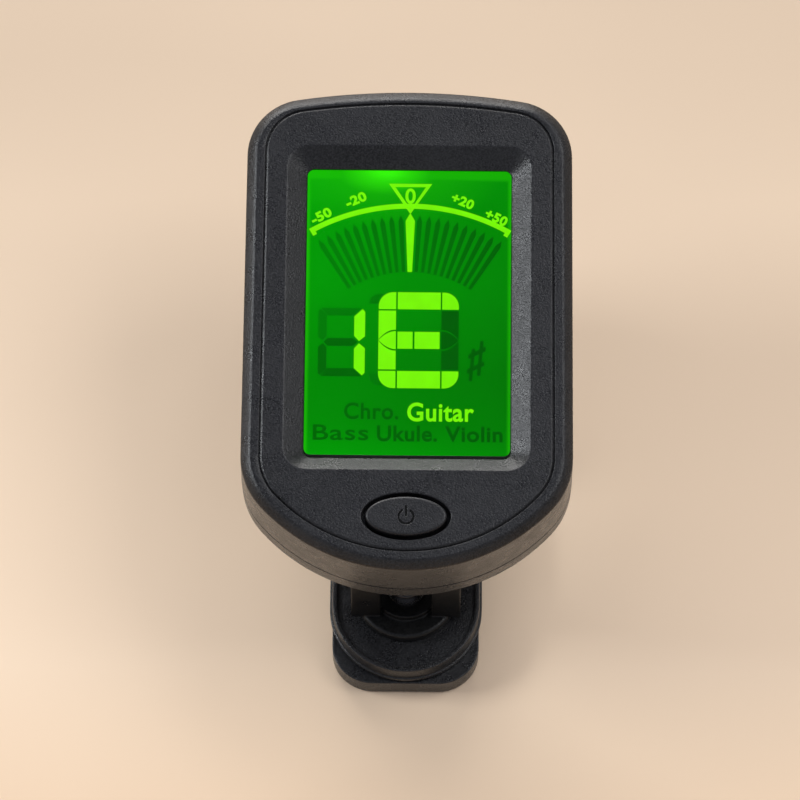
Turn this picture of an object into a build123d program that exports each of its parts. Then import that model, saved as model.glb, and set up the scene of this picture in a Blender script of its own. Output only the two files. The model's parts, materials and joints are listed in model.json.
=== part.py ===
from build123d import *
import os
from math import acos, atan2, cos, degrees, radians, sin, sqrt

os.makedirs("parts", exist_ok=True)

# A clip-on instrument tuner: a display head on a tilt and swivel joint that stands on a spring clip.
# Millimetres. The origin is the foot of the swivel axis on the surface that the clip lies on,
# +Z is up, the jaw tips point along -Y and the finger grips along +Y.

# ---------------------------------------------------------------- driving dimensions
# head, measured in its own face plane: x across, y towards the top of the display
HEAD_TOP = 26.75  # from the middle of the display up to the top edge
HEAD_BOTTOM = -30.6
HEAD_HALF_TOP = 18.95
HEAD_HALF_LOW = 19.15
TOP_ARC = 84.0
BOTTOM_ARC = 22.8
TOP_CORNER = 7.0
LOW_CORNER = 9.0
HEAD_THICK = 14.0
FRONT_DEPTH = 9.7  # depth of the front shell, down to the parting line
WALL = 1.5
FACE_WALL = 2.3
DRAFT = 0.15  # how far the front shell's wall leans in on its way up to the rim
RIM_DEPTH = 1.15
RIM_SIDE, RIM_TOP, RIM_BOTTOM = 2.25, 1.6, 2.15  # width of the rim at each edge
SLOPE_SHARE = 0.6  # part of the rim's width that slopes down to the wall; the rest is flat
GROOVE_WIDE, GROOVE_DEEP = 0.3, 0.4

# display window and what lies behind it
WINDOW_WIDE, WINDOW_HIGH, WINDOW_CORNER = 23.7, 34.5, 0.9
BEZEL_WIDE, BEZEL_HIGH, BEZEL_CORNER, BEZEL_DEEP = 28.25, 38.7, 2.6, 1.3
BEZEL_Y = 0.44
LENS_WIDE, LENS_HIGH, LENS_THICK = 25.8, 36.8, 0.75
GLASS_WIDE, GLASS_HIGH, GLASS_THICK = 25.6, 36.6, 1.6
FRAME_WIDE, FRAME_HIGH, FRAME_WALL = 27.2, 38.4, 0.7
LENS_DEPTH = 1.5
GLASS_DEPTH = 2.4
GUIDE_DEPTH = 4.1
BOARD_DEPTH, BOARD_THICK = 6.3, 0.8

# power button
BUTTON_Y = -24.35
BUTTON_WIDE, BUTTON_HIGH = 10.15, 5.45
BUTTON_GAP = 0.45
BUTTON_PROUD = 0.35

# case screws: one pair above the display, one pair beside the button
SCREW_TOP_X, SCREW_TOP_Y = 13.9, 21.3
SCREW_LOW_X, SCREW_LOW_Y = 12.0, -22.3

# battery and its door
CELL_Y, CELL_R, CELL_THICK = 5.0, 10.0, 3.2
DOOR_HALF, DOOR_LOW = 10.9, -7.5
DOOR_THICK = 1.35
TONGUE, PLAY = 0.6, 0.12

# tilt joint
TILT_AXIS_Z = 15.8
FACE_ELEVATION = 80.0  # elevation of the display's outward normal as it stands
AXIS_TO_BACK = 5.0
AXIS_TO_BOTTOM = 5.8
KNUCKLE_R, KNUCKLE_HALF = 3.4, 2.95
EAR_IN, EAR_OUT = 3.05, 6.45
TILT_BOLT_R = 1.25

# swivel
DISC_R, DISC_Z0, DISC_Z1 = 6.2, 5.2, 6.4
BOSS_R, BOSS_Z = 4.0, 7.3
HUB_R, HUB_Z = 3.2, 6.5
SWIVEL_SCREW_R = 1.0

# clip
JAW_HALF, JAW_TIP_Y = 9.05, -10.45
LOWER_HALF, LOWER_TIP_Y, LOWER_ROUND = 8.7, -10.6, 4.8
LOWER_PLATE, LOWER_TAIL = 2.9, 2.2  # thickness of the lower jaw in front and behind
UPPER_Z0, LEDGE_Z, FLOOR_Z, RIM_Z = 3.2, 3.75, 5.05, 5.45
PIVOT_Y, PIVOT_Z, PIVOT_R = 23.5, 8.0, 3.6
TAIL_Y, TAIL_Z = 44.5, 16.6  # rear end of the finger grips, and how high the upper one rises
CHEEK_OUT, CHEEK_WALL = 6.75, 1.45
PIN_R = 1.0
PAD_SPLIT_Z = 3.1  # height at which the two pads meet

# ---------------------------------------------------------------- reference planes
normal = Vector(0, -cos(radians(FACE_ELEVATION)), sin(radians(FACE_ELEVATION)))
upward = Vector(0, sin(radians(FACE_ELEVATION)), cos(radians(FACE_ELEVATION)))
tilt_point = Vector(0, 0, TILT_AXIS_Z)
axis_y_on_face = HEAD_BOTTOM + AXIS_TO_BOTTOM
face_point = tilt_point - upward * axis_y_on_face + normal * (AXIS_TO_BACK + HEAD_THICK)

FACE = Plane(origin=face_point, x_dir=(1, 0, 0), z_dir=normal)
OUT_OF_FACE = Axis(FACE.origin, FACE.z_dir)
TILT = Plane(origin=tilt_point, x_dir=upward, z_dir=(1, 0, 0))
PIVOT = Plane(origin=(0, PIVOT_Y, PIVOT_Z), x_dir=(0, 1, 0), z_dir=(1, 0, 0))


def level(depth):
    """Plane parallel to the display face, depth below it."""
    return FACE.offset(-depth)


def head_outline(side=0.0, top=0.0, bottom=0.0):
    """Outline of the head as a sketch, drawn in by the given amounts."""
    high, low = HEAD_TOP - top, HEAD_BOTTOM + bottom
    half_top, half_low = HEAD_HALF_TOP - side, HEAD_HALF_LOW - side
    shoulder = high - (TOP_ARC - sqrt(TOP_ARC**2 - half_top**2))
    chin = BOTTOM_ARC - bottom
    hip = low + chin - sqrt(chin**2 - half_low**2)
    with BuildSketch(Plane.XY, mode=Mode.PRIVATE) as outline:
        with BuildLine():
            Line((-half_low, hip), (-half_top, shoulder))
            ThreePointArc((-half_top, shoulder), (0, high), (half_top, shoulder))
            Line((half_top, shoulder), (half_low, hip))
            ThreePointArc((half_low, hip), (0, low), (-half_low, hip))
        make_face()
        fillet(outline.vertices().group_by(Axis.Y)[-1], TOP_CORNER - (side + top) / 2)
        fillet(outline.vertices().group_by(Axis.Y)[0], LOW_CORNER - side)
    return outline.sketch


def corner_spots():
    """Places of the four case screws in the face plane."""
    pairs = ((SCREW_TOP_X, SCREW_TOP_Y), (SCREW_LOW_X, SCREW_LOW_Y))
    return [(side * x, y) for x, y in pairs for side in (-1, 1)]


def u_outline(half, front_y, back_y, front_radius):
    """Jaw outline seen from above: a front rounded by front_radius, straight sides and a square back."""
    with BuildSketch(Plane.XY, mode=Mode.PRIVATE) as outline:
        with Locations((0, (front_y + back_y) / 2)):
            Rectangle(2 * half, back_y - front_y)
        fillet(outline.vertices().group_by(Axis.Y)[0], front_radius)
    return outline.sketch


# ================================================================ head
# ---------------------------------------------------------------- front shell
boss_r, pilot_r, pilot_end = 1.9, 0.9, 3.3
with BuildPart() as front_shell:
    # side wall, leaning in a little
    with BuildSketch(level(FRONT_DEPTH)):
        add(head_outline())
    with BuildSketch(level(RIM_DEPTH)):
        add(head_outline(DRAFT, DRAFT, DRAFT))
    loft()
    # sloping part of the rim, a little rounded at its foot: shares of its width and of its depth
    for across, deep in ((0, 1.0), (0.05, 0.8), (0.46, 0.39), (0.8, 0.12), (1, 0)):
        inset = [DRAFT + (width * SLOPE_SHARE - DRAFT) * across for width in (RIM_SIDE, RIM_TOP, RIM_BOTTOM)]
        with BuildSketch(level(RIM_DEPTH * deep)):
            add(head_outline(*inset))
    loft(ruled=True)
    with BuildSketch(level(FRONT_DEPTH)):
        add(head_outline(WALL, WALL, WALL))
    extrude(amount=FRONT_DEPTH - FACE_WALL, mode=Mode.SUBTRACT)
    # fine groove between the rim and the face
    with BuildSketch(level(GROOVE_DEEP)):
        add(head_outline(RIM_SIDE, RIM_TOP, RIM_BOTTOM))
        add(
            head_outline(RIM_SIDE + GROOVE_WIDE, RIM_TOP + GROOVE_WIDE, RIM_BOTTOM + GROOVE_WIDE),
            mode=Mode.SUBTRACT,
        )
    extrude(amount=2 * GROOVE_DEEP, mode=Mode.SUBTRACT)
    # sloping bezel and the display window
    with BuildSketch(level(0)):
        with Locations((0, BEZEL_Y)):
            RectangleRounded(BEZEL_WIDE, BEZEL_HIGH, BEZEL_CORNER)
    with BuildSketch(level(BEZEL_DEEP)):
        RectangleRounded(WINDOW_WIDE, WINDOW_HIGH, WINDOW_CORNER)
    loft(mode=Mode.SUBTRACT)
    with BuildSketch(level(FACE_WALL)):
        RectangleRounded(WINDOW_WIDE, WINDOW_HIGH, WINDOW_CORNER)
    extrude(amount=FACE_WALL, mode=Mode.SUBTRACT)
    with BuildSketch(level(FACE_WALL)):
        RectangleRounded(LENS_WIDE + PLAY, LENS_HIGH + PLAY, 1.2)
    extrude(amount=FACE_WALL - LENS_DEPTH, mode=Mode.SUBTRACT)
    # button hole
    with BuildSketch(level(FACE_WALL)):
        with Locations((0, BUTTON_Y)):
            Ellipse(BUTTON_WIDE / 2, BUTTON_HIGH / 2)
    extrude(amount=FACE_WALL, mode=Mode.SUBTRACT)
    button_rim = front_shell.edges().group_by(OUT_OF_FACE)[-1].filter_by(GeomType.ELLIPSE)
    chamfer(button_rim, 0.12)
    # bosses for the case screws
    with BuildSketch(level(FRONT_DEPTH)):
        with Locations(*corner_spots()):
            Circle(boss_r)
    extrude(amount=FRONT_DEPTH - FACE_WALL)
    with BuildSketch(level(FRONT_DEPTH)):
        with Locations(*corner_spots()):
            Circle(pilot_r)
    extrude(amount=FRONT_DEPTH - pilot_end, mode=Mode.SUBTRACT)
front_shell.part.label = "front_shell"
export_step(front_shell.part, "parts/front_shell.step")

# ---------------------------------------------------------------- rear shell
shadow_gap = 0.3  # small step that shows as the parting line
well_wall = 1.0
pocket_depth = HEAD_THICK - DOOR_THICK
well_depth = pocket_depth - CELL_THICK - 0.25
pocket_floor = 0.8
back_round, door_round = 0.9, 0.8
head_screw_r, shank_r = 1.75, 1.1
screw_seat = HEAD_THICK - 2.6  # depth of the seats under the screw heads
with BuildPart() as rear_shell:
    with BuildSketch(level(HEAD_THICK)):
        add(head_outline())
    extrude(amount=HEAD_THICK - FRONT_DEPTH - shadow_gap)
    fillet(rear_shell.edges().group_by(OUT_OF_FACE)[0], back_round)
    with BuildSketch(level(FRONT_DEPTH + shadow_gap)):
        add(head_outline(shadow_gap, shadow_gap, shadow_gap))
    extrude(amount=shadow_gap)
    with BuildSketch(level(HEAD_THICK - WALL)):
        add(head_outline(WALL, WALL, WALL))
    extrude(amount=HEAD_THICK - WALL - FRONT_DEPTH, mode=Mode.SUBTRACT)
    # thicker wall under the battery door, and the round well of the coin cell
    with BuildSketch(level(HEAD_THICK - WALL)):
        add(head_outline(WALL - 0.2, WALL - 0.2, WALL - 0.2))
        with Locations((0, DOOR_LOW - 1 - 50)):
            Rectangle(100, 100, mode=Mode.SUBTRACT)
        for side in (-1, 1):
            with Locations((side * (DOOR_HALF + TONGUE + 1 + 50), 0)):
                Rectangle(100, 100, mode=Mode.SUBTRACT)
    extrude(amount=HEAD_THICK - WALL - pocket_depth + pocket_floor)
    with BuildSketch(level(pocket_depth)):
        with Locations((0, CELL_Y)):
            Circle(CELL_R + 0.15 + well_wall)
    extrude(amount=pocket_depth - well_depth)
    # screw bosses, seats and clearance holes
    with BuildSketch(level(HEAD_THICK - WALL)):
        with Locations(*corner_spots()):
            Circle(head_screw_r + 0.9)
    extrude(amount=HEAD_THICK - WALL - FRONT_DEPTH - 0.05)
    with BuildSketch(level(HEAD_THICK)):
        with Locations(*corner_spots()):
            Circle(head_screw_r)
    extrude(amount=HEAD_THICK - screw_seat, mode=Mode.SUBTRACT)
    with BuildSketch(level(HEAD_THICK)):
        with Locations(*corner_spots()):
            Circle(shank_r)
    extrude(amount=HEAD_THICK - FRONT_DEPTH, mode=Mode.SUBTRACT)
    # pocket of the sliding battery door, open at the top, with a slot along each side
    pocket_top = HEAD_TOP + 2
    with BuildSketch(level(HEAD_THICK)):
        with Locations((0, (DOOR_LOW - PLAY + pocket_top) / 2)):
            Rectangle(2 * (DOOR_HALF + PLAY), pocket_top - DOOR_LOW + PLAY)
    extrude(amount=DOOR_THICK, mode=Mode.SUBTRACT)
    with BuildSketch(level(pocket_depth)):
        with Locations((0, (DOOR_LOW - PLAY + pocket_top) / 2)):
            Rectangle(2 * (DOOR_HALF + TONGUE + PLAY), pocket_top - DOOR_LOW + PLAY)
    extrude(amount=-0.75, mode=Mode.SUBTRACT)
    with BuildSketch(level(HEAD_THICK)):
        with Locations((0, CELL_Y)):
            Circle(CELL_R + 0.15)
    extrude(amount=HEAD_THICK - FRONT_DEPTH + 2, mode=Mode.SUBTRACT)
    # knuckle of the tilt joint
    with BuildSketch(TILT):
        Circle(KNUCKLE_R)
        with BuildLine():
            Polyline(
                (-KNUCKLE_R, 0),
                (-KNUCKLE_R - 0.6, AXIS_TO_BACK + 0.6),
                (KNUCKLE_R + 2.4, AXIS_TO_BACK + 0.6),
                (KNUCKLE_R, 0),
                close=True,
            )
        make_face()
    extrude(amount=KNUCKLE_HALF, both=True)
    with BuildSketch(TILT):
        Circle(TILT_BOLT_R + 0.05)
    extrude(amount=KNUCKLE_HALF, both=True, mode=Mode.SUBTRACT)
rear_shell.part.label = "rear_shell"
export_step(rear_shell.part, "parts/rear_shell.step")

# ---------------------------------------------------------------- battery door
with BuildPart() as battery_door:
    with BuildSketch(level(HEAD_THICK)):
        add(head_outline())
    extrude(amount=DOOR_THICK)
    fillet(battery_door.edges().group_by(OUT_OF_FACE)[0], door_round)
    # plain plate between the pocket's sides, and the tongues that run in its slots
    door_high = HEAD_TOP + 5 - DOOR_LOW
    with BuildSketch(level(HEAD_THICK)) as door_plan:
        with Locations((0, DOOR_LOW + door_high / 2)):
            Rectangle(2 * DOOR_HALF, door_high)
    extrude(amount=DOOR_THICK - PLAY / 2, mode=Mode.INTERSECT)
    with BuildSketch(level(HEAD_THICK - DOOR_THICK + PLAY / 2)):
        for side in (-1, 1):
            with Locations((side * (DOOR_HALF + TONGUE / 2), DOOR_LOW + 14)):
                Rectangle(TONGUE, 28)
    extrude(amount=-0.6)
    # grip grooves and a raised arrow head
    with BuildSketch(level(HEAD_THICK)):
        with GridLocations(0, 1.5, 1, 5):
            with Locations((0, 17)):
                SlotOverall(12, 0.7)
    extrude(amount=0.35, mode=Mode.SUBTRACT)
    with BuildSketch(level(HEAD_THICK)):
        with Locations((0, 7.5)):
            Triangle(a=5, b=4, c=4)
    extrude(amount=0.35, mode=Mode.SUBTRACT)
battery_door.part.label = "battery_door"
export_step(battery_door.part, "parts/battery_door.step")

# ---------------------------------------------------------------- display stack
with BuildPart() as window_lens:
    with BuildSketch(level(LENS_DEPTH + LENS_THICK)):
        RectangleRounded(LENS_WIDE, LENS_HIGH, 1.1)
    extrude(amount=LENS_THICK)
window_lens.part.label = "window_lens"
export_step(window_lens.part, "parts/window_lens.step")

ledge = 1.6  # height of the glass edge left bare for the contact strip
with BuildPart() as lcd_glass:
    with BuildSketch(level(GLASS_DEPTH + GLASS_THICK / 2)):
        RectangleRounded(GLASS_WIDE, GLASS_HIGH, 0.4)
    extrude(amount=GLASS_THICK / 2)
    with BuildSketch(level(GLASS_DEPTH + GLASS_THICK)):
        with Locations((0, ledge / 2)):
            RectangleRounded(GLASS_WIDE, GLASS_HIGH - ledge, 0.4)
    extrude(amount=GLASS_THICK / 2)
lcd_glass.part.label = "lcd_glass"
export_step(lcd_glass.part, "parts/lcd_glass.step")

guide_thick = 1.5
with BuildPart() as light_guide:
    with BuildSketch(level(GUIDE_DEPTH + guide_thick)):
        with Locations((0, ledge)):
            RectangleRounded(GLASS_WIDE, GLASS_HIGH - 2 * ledge, 0.4)
        with Locations((-4, GLASS_HIGH / 2 - 0.5)):
            Rectangle(3.4, 1.8, mode=Mode.SUBTRACT)
    extrude(amount=guide_thick)
light_guide.part.label = "light_guide"
export_step(light_guide.part, "parts/light_guide.step")

with BuildPart() as backlight_led:
    with BuildSketch(level(BOARD_DEPTH)):
        with Locations((-4, GLASS_HIGH / 2 - 0.6)):
            Rectangle(3.0, 1.2)
    extrude(amount=BOARD_DEPTH - GUIDE_DEPTH - 0.2)
backlight_led.part.label = "backlight_led"
export_step(backlight_led.part, "parts/backlight_led.step")

with BuildPart() as lcd_frame:
    with BuildSketch(level(BOARD_DEPTH)):
        RectangleRounded(FRAME_WIDE, FRAME_HIGH, 1.0)
        Rectangle(FRAME_WIDE - 2 * FRAME_WALL, FRAME_HIGH - 2 * FRAME_WALL, mode=Mode.SUBTRACT)
    extrude(amount=BOARD_DEPTH - GLASS_DEPTH)
lcd_frame.part.label = "lcd_frame"
export_step(lcd_frame.part, "parts/lcd_frame.step")

with BuildPart() as contact_strip:
    with BuildSketch(level(BOARD_DEPTH)):
        with Locations((0, -GLASS_HIGH / 2 + ledge / 2)):
            RectangleRounded(GLASS_WIDE - 2, ledge - 0.2, 0.3)
    extrude(amount=BOARD_DEPTH - GLASS_DEPTH - GLASS_THICK / 2)
contact_strip.part.label = "contact_strip"
export_step(contact_strip.part, "parts/contact_strip.step")

# ---------------------------------------------------------------- circuit board and what it carries
with BuildPart() as circuit_board:
    with BuildSketch(level(BOARD_DEPTH + BOARD_THICK)):
        add(head_outline(WALL + 0.5, WALL + 0.8, WALL + 0.6))
        with Locations(*corner_spots()):
            Circle(boss_r + 0.25, mode=Mode.SUBTRACT)
        for side in (-1, 1):
            with Locations((side * 18.0, SCREW_TOP_Y + 2.4), (side * 16.2, SCREW_LOW_Y - 1)):
                Rectangle(8, 9, mode=Mode.SUBTRACT)
    extrude(amount=BOARD_THICK)
circuit_board.part.label = "circuit_board"
export_step(circuit_board.part, "parts/circuit_board.step")

switch_top = 4.5
plunger_r = 1.1
with BuildPart() as tact_switch:
    with BuildSketch(level(BOARD_DEPTH)):
        with Locations((0, BUTTON_Y)):
            RectangleRounded(4.5, 4.5, 0.3)
    extrude(amount=BOARD_DEPTH - switch_top)
    with BuildSketch(level(switch_top)):
        with Locations((0, BUTTON_Y)):
            Circle(plunger_r + 0.1)
    extrude(amount=-0.7, mode=Mode.SUBTRACT)
tact_switch.part.label = "tact_switch"
export_step(tact_switch.part, "parts/tact_switch.step")

stem_end = 3.6
with BuildPart() as switch_plunger:
    with BuildSketch(level(switch_top + 0.2)):
        with Locations((0, BUTTON_Y)):
            Circle(plunger_r)
    extrude(amount=switch_top + 0.2 - stem_end)
switch_plunger.part.label = "switch_plunger"
export_step(switch_plunger.part, "parts/switch_plunger.step")

cap_wide, cap_high = BUTTON_WIDE / 2 - BUTTON_GAP, BUTTON_HIGH / 2 - BUTTON_GAP
with BuildPart() as button_cap:
    with BuildSketch(level(FACE_WALL + 0.7)):
        with Locations((0, BUTTON_Y)):
            Ellipse(cap_wide, cap_high)
    extrude(amount=FACE_WALL + 0.7 + BUTTON_PROUD)
    fillet(button_cap.edges().group_by(OUT_OF_FACE)[-1], 0.3)
    with BuildSketch(level(FACE_WALL + 0.7)):
        with Locations((0, BUTTON_Y)):
            Ellipse(BUTTON_WIDE / 2 + 0.4, BUTTON_HIGH / 2 + 0.4)
    extrude(amount=0.6)
    with BuildSketch(level(stem_end)):
        with Locations((0, BUTTON_Y)):
            Circle(1.3)
    extrude(amount=stem_end - FACE_WALL - 0.7)
    # power symbol, sunk into the cap: an open ring and a bar through its gap
    with BuildSketch(level(-BUTTON_PROUD)):
        with Locations((0, BUTTON_Y - 0.1)):
            Circle(0.95)
            Circle(0.72, mode=Mode.SUBTRACT)
        with Locations((0, BUTTON_Y + 0.8)):
            Rectangle(0.75, 1.0, mode=Mode.SUBTRACT)
        with Locations((0, BUTTON_Y + 0.55)):
            Rectangle(0.24, 1.25)
    extrude(amount=-0.14, mode=Mode.SUBTRACT)
button_cap.part.label = "button_cap"
export_step(button_cap.part, "parts/button_cap.step")

board_back = BOARD_DEPTH + BOARD_THICK
with BuildPart() as chip_dome:
    with BuildSketch(level(board_back)):
        with Locations((8.5, -13.5)):
            Circle(3.4)
    extrude(amount=-1.2)
    fillet(chip_dome.edges().group_by(OUT_OF_FACE)[0], 1.0)
chip_dome.part.label = "chip_dome"
export_step(chip_dome.part, "parts/chip_dome.step")

with BuildPart() as board_components:
    with BuildSketch(level(board_back)):
        with Locations((-13.6, -10), (-13.6, -13), (-13.6, -16), (3, -17.5), (5.5, -19.5), (14.2, -8)):
            Rectangle(1.6, 0.8)
        with Locations((-9.5, -12), (14.6, -13.5)):
            Rectangle(1.3, 3.2)
    extrude(amount=-0.7)
board_components.part.label = "board_components"
export_step(board_components.part, "parts/board_components.step")

# ---------------------------------------------------------------- battery and contacts
cell_top = well_depth + 0.05  # depth of the cell's negative face
with BuildPart() as coin_cell:
    with BuildSketch(level(cell_top + CELL_THICK)):
        with Locations((0, CELL_Y)):
            Circle(CELL_R)
    extrude(amount=CELL_THICK - 0.35)
    fillet(coin_cell.edges().group_by(OUT_OF_FACE)[0], 0.4)
    with BuildSketch(level(cell_top + 0.35)):
        with Locations((0, CELL_Y)):
            Circle(CELL_R - 1.4)
    extrude(amount=0.35)
coin_cell.part.label = "coin_cell"
export_step(coin_cell.part, "parts/coin_cell.step")

strip_thick = 0.2
with BuildPart() as negative_contact:
    with BuildSketch(level(board_back + strip_thick)):
        with Locations((0, CELL_Y - 4)):
            Rectangle(3, 9)
    extrude(amount=strip_thick)
    with BuildSketch(level(cell_top)):
        with Locations((0, CELL_Y)):
            Circle(1.3)
    extrude(amount=cell_top - board_back - strip_thick)
negative_contact.part.label = "negative_contact"
export_step(negative_contact.part, "parts/negative_contact.step")

with BuildPart() as positive_contact:
    with BuildSketch(level(board_back + strip_thick)):
        with Locations((0, CELL_Y + CELL_R + 3.2)):
            Rectangle(4, 3.4)
    extrude(amount=strip_thick)
    with BuildSketch(level(well_depth - 0.05)):
        with Locations((0, CELL_Y + CELL_R + 1.62)):
            Rectangle(4, 0.24)
    extrude(amount=well_depth - 0.05 - board_back - strip_thick)
positive_contact.part.label = "positive_contact"
export_step(positive_contact.part, "parts/positive_contact.step")

# ---------------------------------------------------------------- vibration sensor and its leads
SENSOR_Y = -15.2
back_inside = HEAD_THICK - WALL
with BuildPart() as sensor_plate:
    with BuildSketch(level(back_inside)):
        with Locations((0, SENSOR_Y)):
            Circle(6.0)
    extrude(amount=0.25)
sensor_plate.part.label = "sensor_plate"
export_step(sensor_plate.part, "parts/sensor_plate.step")

with BuildPart() as sensor_ceramic:
    with BuildSketch(level(back_inside - 0.25)):
        with Locations((0, SENSOR_Y)):
            Circle(4.4)
    extrude(amount=0.2)
sensor_ceramic.part.label = "sensor_ceramic"
export_step(sensor_ceramic.part, "parts/sensor_ceramic.step")


def sensor_lead(foot_x, foot_depth, foot_y, board_x, board_y):
    """A thin wire that rises from the sensor, bends over and drops onto the board."""
    lead_r = 0.3
    low, high = foot_depth - lead_r, board_back + lead_r
    middle = (low + high) / 2
    spots = [
        (foot_x, foot_y, low),
        (foot_x, foot_y, middle),
        (board_x, board_y, middle),
        (board_x, board_y, high - lead_r),
    ]
    with BuildPart() as lead:
        with BuildLine() as route:
            FilletPolyline([FACE.from_local_coords((x, y, -depth)) for x, y, depth in spots], radius=0.7)
        with BuildSketch(Plane(origin=route.line @ 0, z_dir=route.line % 0)):
            Circle(lead_r)
        sweep(path=route.line)
    return lead


lead_red = sensor_lead(-1.6, back_inside - 0.45, SENSOR_Y + 1.0, -5.0, -20.0)
lead_red.part.label = "lead_red"
export_step(lead_red.part, "parts/lead_red.step")
lead_black = sensor_lead(-5.3, back_inside - 0.25, SENSOR_Y, -9.5, -17.5)
lead_black.part.label = "lead_black"
export_step(lead_black.part, "parts/lead_black.step")

# ---------------------------------------------------------------- case screws
case_screw_thread, case_screw_head = pilot_r - 0.02, 1.6
with BuildPart() as case_screws:
    with BuildSketch(level(screw_seat)):
        with Locations(*corner_spots()):
            Circle(case_screw_thread)
    extrude(amount=screw_seat - pilot_end - 0.7)
    with BuildSketch(level(screw_seat)):
        with Locations(*corner_spots()):
            Circle(case_screw_head)
    extrude(amount=-1.3)
    with BuildSketch(level(screw_seat + 1.3)):
        with Locations(*corner_spots()):
            Rectangle(1.8, 0.42)
            Rectangle(0.42, 1.8)
    extrude(amount=0.7, mode=Mode.SUBTRACT)
case_screws.part.label = "case_screws"
export_step(case_screws.part, "parts/case_screws.step")

# ================================================================ tilt and swivel joint
# ---------------------------------------------------------------- swivel base: a round foot with two ears
ear_seat = DISC_Z1 - 0.3
bolt_head_r, bolt_head_long = 2.2, 1.4
nut_flats, nut_long = 4.0, 1.5
with BuildPart() as swivel_base:
    with BuildSketch(Plane.XY.offset(DISC_Z0)):
        Circle(DISC_R)
    extrude(amount=DISC_Z1 - DISC_Z0)
    fillet(swivel_base.edges().group_by(Axis.Z)[-1], 0.5)
    with BuildSketch(Plane.XY.offset(DISC_Z0)):
        Circle(BOSS_R)
    extrude(amount=BOSS_Z - DISC_Z0)
    for start in (EAR_IN, -EAR_OUT):
        with BuildSketch(Plane.YZ.offset(start)):
            with Locations((0, (ear_seat + TILT_AXIS_Z) / 2)):
                Rectangle(2 * KNUCKLE_R, TILT_AXIS_Z - ear_seat)
            with Locations((0, TILT_AXIS_Z)):
                Circle(KNUCKLE_R)
        extrude(amount=EAR_OUT - EAR_IN)
    # seat of the turning hub, and the screw hole
    with BuildSketch(Plane.XY.offset(DISC_Z0)):
        Circle(HUB_R + 0.08)
    extrude(amount=HUB_Z + 0.1 - DISC_Z0, mode=Mode.SUBTRACT)
    with BuildSketch(Plane.XY.offset(DISC_Z0)):
        Circle(SWIVEL_SCREW_R + 0.1)
    extrude(amount=BOSS_Z - DISC_Z0, mode=Mode.SUBTRACT)
    # cross hole, bolt head seat and nut pocket
    with BuildSketch(Plane.YZ.offset(-EAR_OUT)):
        with Locations((0, TILT_AXIS_Z)):
            Circle(TILT_BOLT_R + 0.02)
    extrude(amount=2 * EAR_OUT, mode=Mode.SUBTRACT)
    with BuildSketch(Plane.YZ.offset(EAR_OUT)):
        with Locations((0, TILT_AXIS_Z)):
            Circle(bolt_head_r + 0.05)
    extrude(amount=-bolt_head_long - 0.1, mode=Mode.SUBTRACT)
    with BuildSketch(Plane.YZ.offset(-EAR_OUT)):
        with Locations((0, TILT_AXIS_Z)):
            RegularPolygon(nut_flats / 2 + 0.03, 6, major_radius=False)
    extrude(amount=nut_long + 0.1, mode=Mode.SUBTRACT)
swivel_base.part.label = "swivel_base"
export_step(swivel_base.part, "parts/swivel_base.step")

with BuildPart() as tilt_bolt:
    with BuildSketch(Plane.YZ.offset(EAR_OUT - bolt_head_long - 0.1)):
        with Locations((0, TILT_AXIS_Z)):
            Circle(bolt_head_r)
    extrude(amount=bolt_head_long)
    fillet(tilt_bolt.edges().group_by(Axis.X)[-1], 0.3)
    with BuildSketch(Plane.YZ.offset(EAR_OUT - 0.1)):
        with Locations((0, TILT_AXIS_Z)):
            Rectangle(2.4, 0.55)
            Rectangle(0.55, 2.4)
    extrude(amount=-0.8, mode=Mode.SUBTRACT)
    with BuildSketch(Plane.YZ.offset(EAR_OUT - bolt_head_long - 0.1)):
        with Locations((0, TILT_AXIS_Z)):
            Circle(TILT_BOLT_R)
    extrude(amount=-(2 * EAR_OUT - bolt_head_long - 0.4))
tilt_bolt.part.label = "tilt_bolt"
export_step(tilt_bolt.part, "parts/tilt_bolt.step")

with BuildPart() as tilt_nut:
    with BuildSketch(Plane.YZ.offset(-EAR_OUT + 0.1)):
        with Locations((0, TILT_AXIS_Z)):
            RegularPolygon(nut_flats / 2, 6, major_radius=False)
            Circle(TILT_BOLT_R, mode=Mode.SUBTRACT)
    extrude(amount=nut_long)
tilt_nut.part.label = "tilt_nut"
export_step(tilt_nut.part, "parts/tilt_nut.step")

# ---------------------------------------------------------------- swivel screw and its spring washer
washer_thick, swivel_head_r, swivel_head_high = 0.3, 2.0, 1.1
with BuildPart() as swivel_washer:
    with BuildSketch(Plane.XY.offset(BOSS_Z)):
        Circle(swivel_head_r + 0.4)
        Circle(SWIVEL_SCREW_R + 0.05, mode=Mode.SUBTRACT)
    extrude(amount=washer_thick)
swivel_washer.part.label = "swivel_washer"
export_step(swivel_washer.part, "parts/swivel_washer.step")

screw_foot_z = UPPER_Z0 + 1.0
with BuildPart() as swivel_screw:
    with BuildSketch(Plane.XY.offset(screw_foot_z)):
        Circle(SWIVEL_SCREW_R)
    extrude(amount=BOSS_Z + washer_thick - screw_foot_z)
    with BuildSketch(Plane.XY.offset(BOSS_Z + washer_thick)):
        Circle(swivel_head_r)
    extrude(amount=swivel_head_high)
    fillet(swivel_screw.edges().group_by(Axis.Z)[-1], 0.35)
    with BuildSketch(Plane.XY.offset(BOSS_Z + washer_thick + swivel_head_high)):
        Rectangle(2.2, 0.5)
        Rectangle(0.5, 2.2)
    extrude(amount=-0.7, mode=Mode.SUBTRACT)
swivel_screw.part.label = "swivel_screw"
export_step(swivel_screw.part, "parts/swivel_screw.step")

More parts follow.
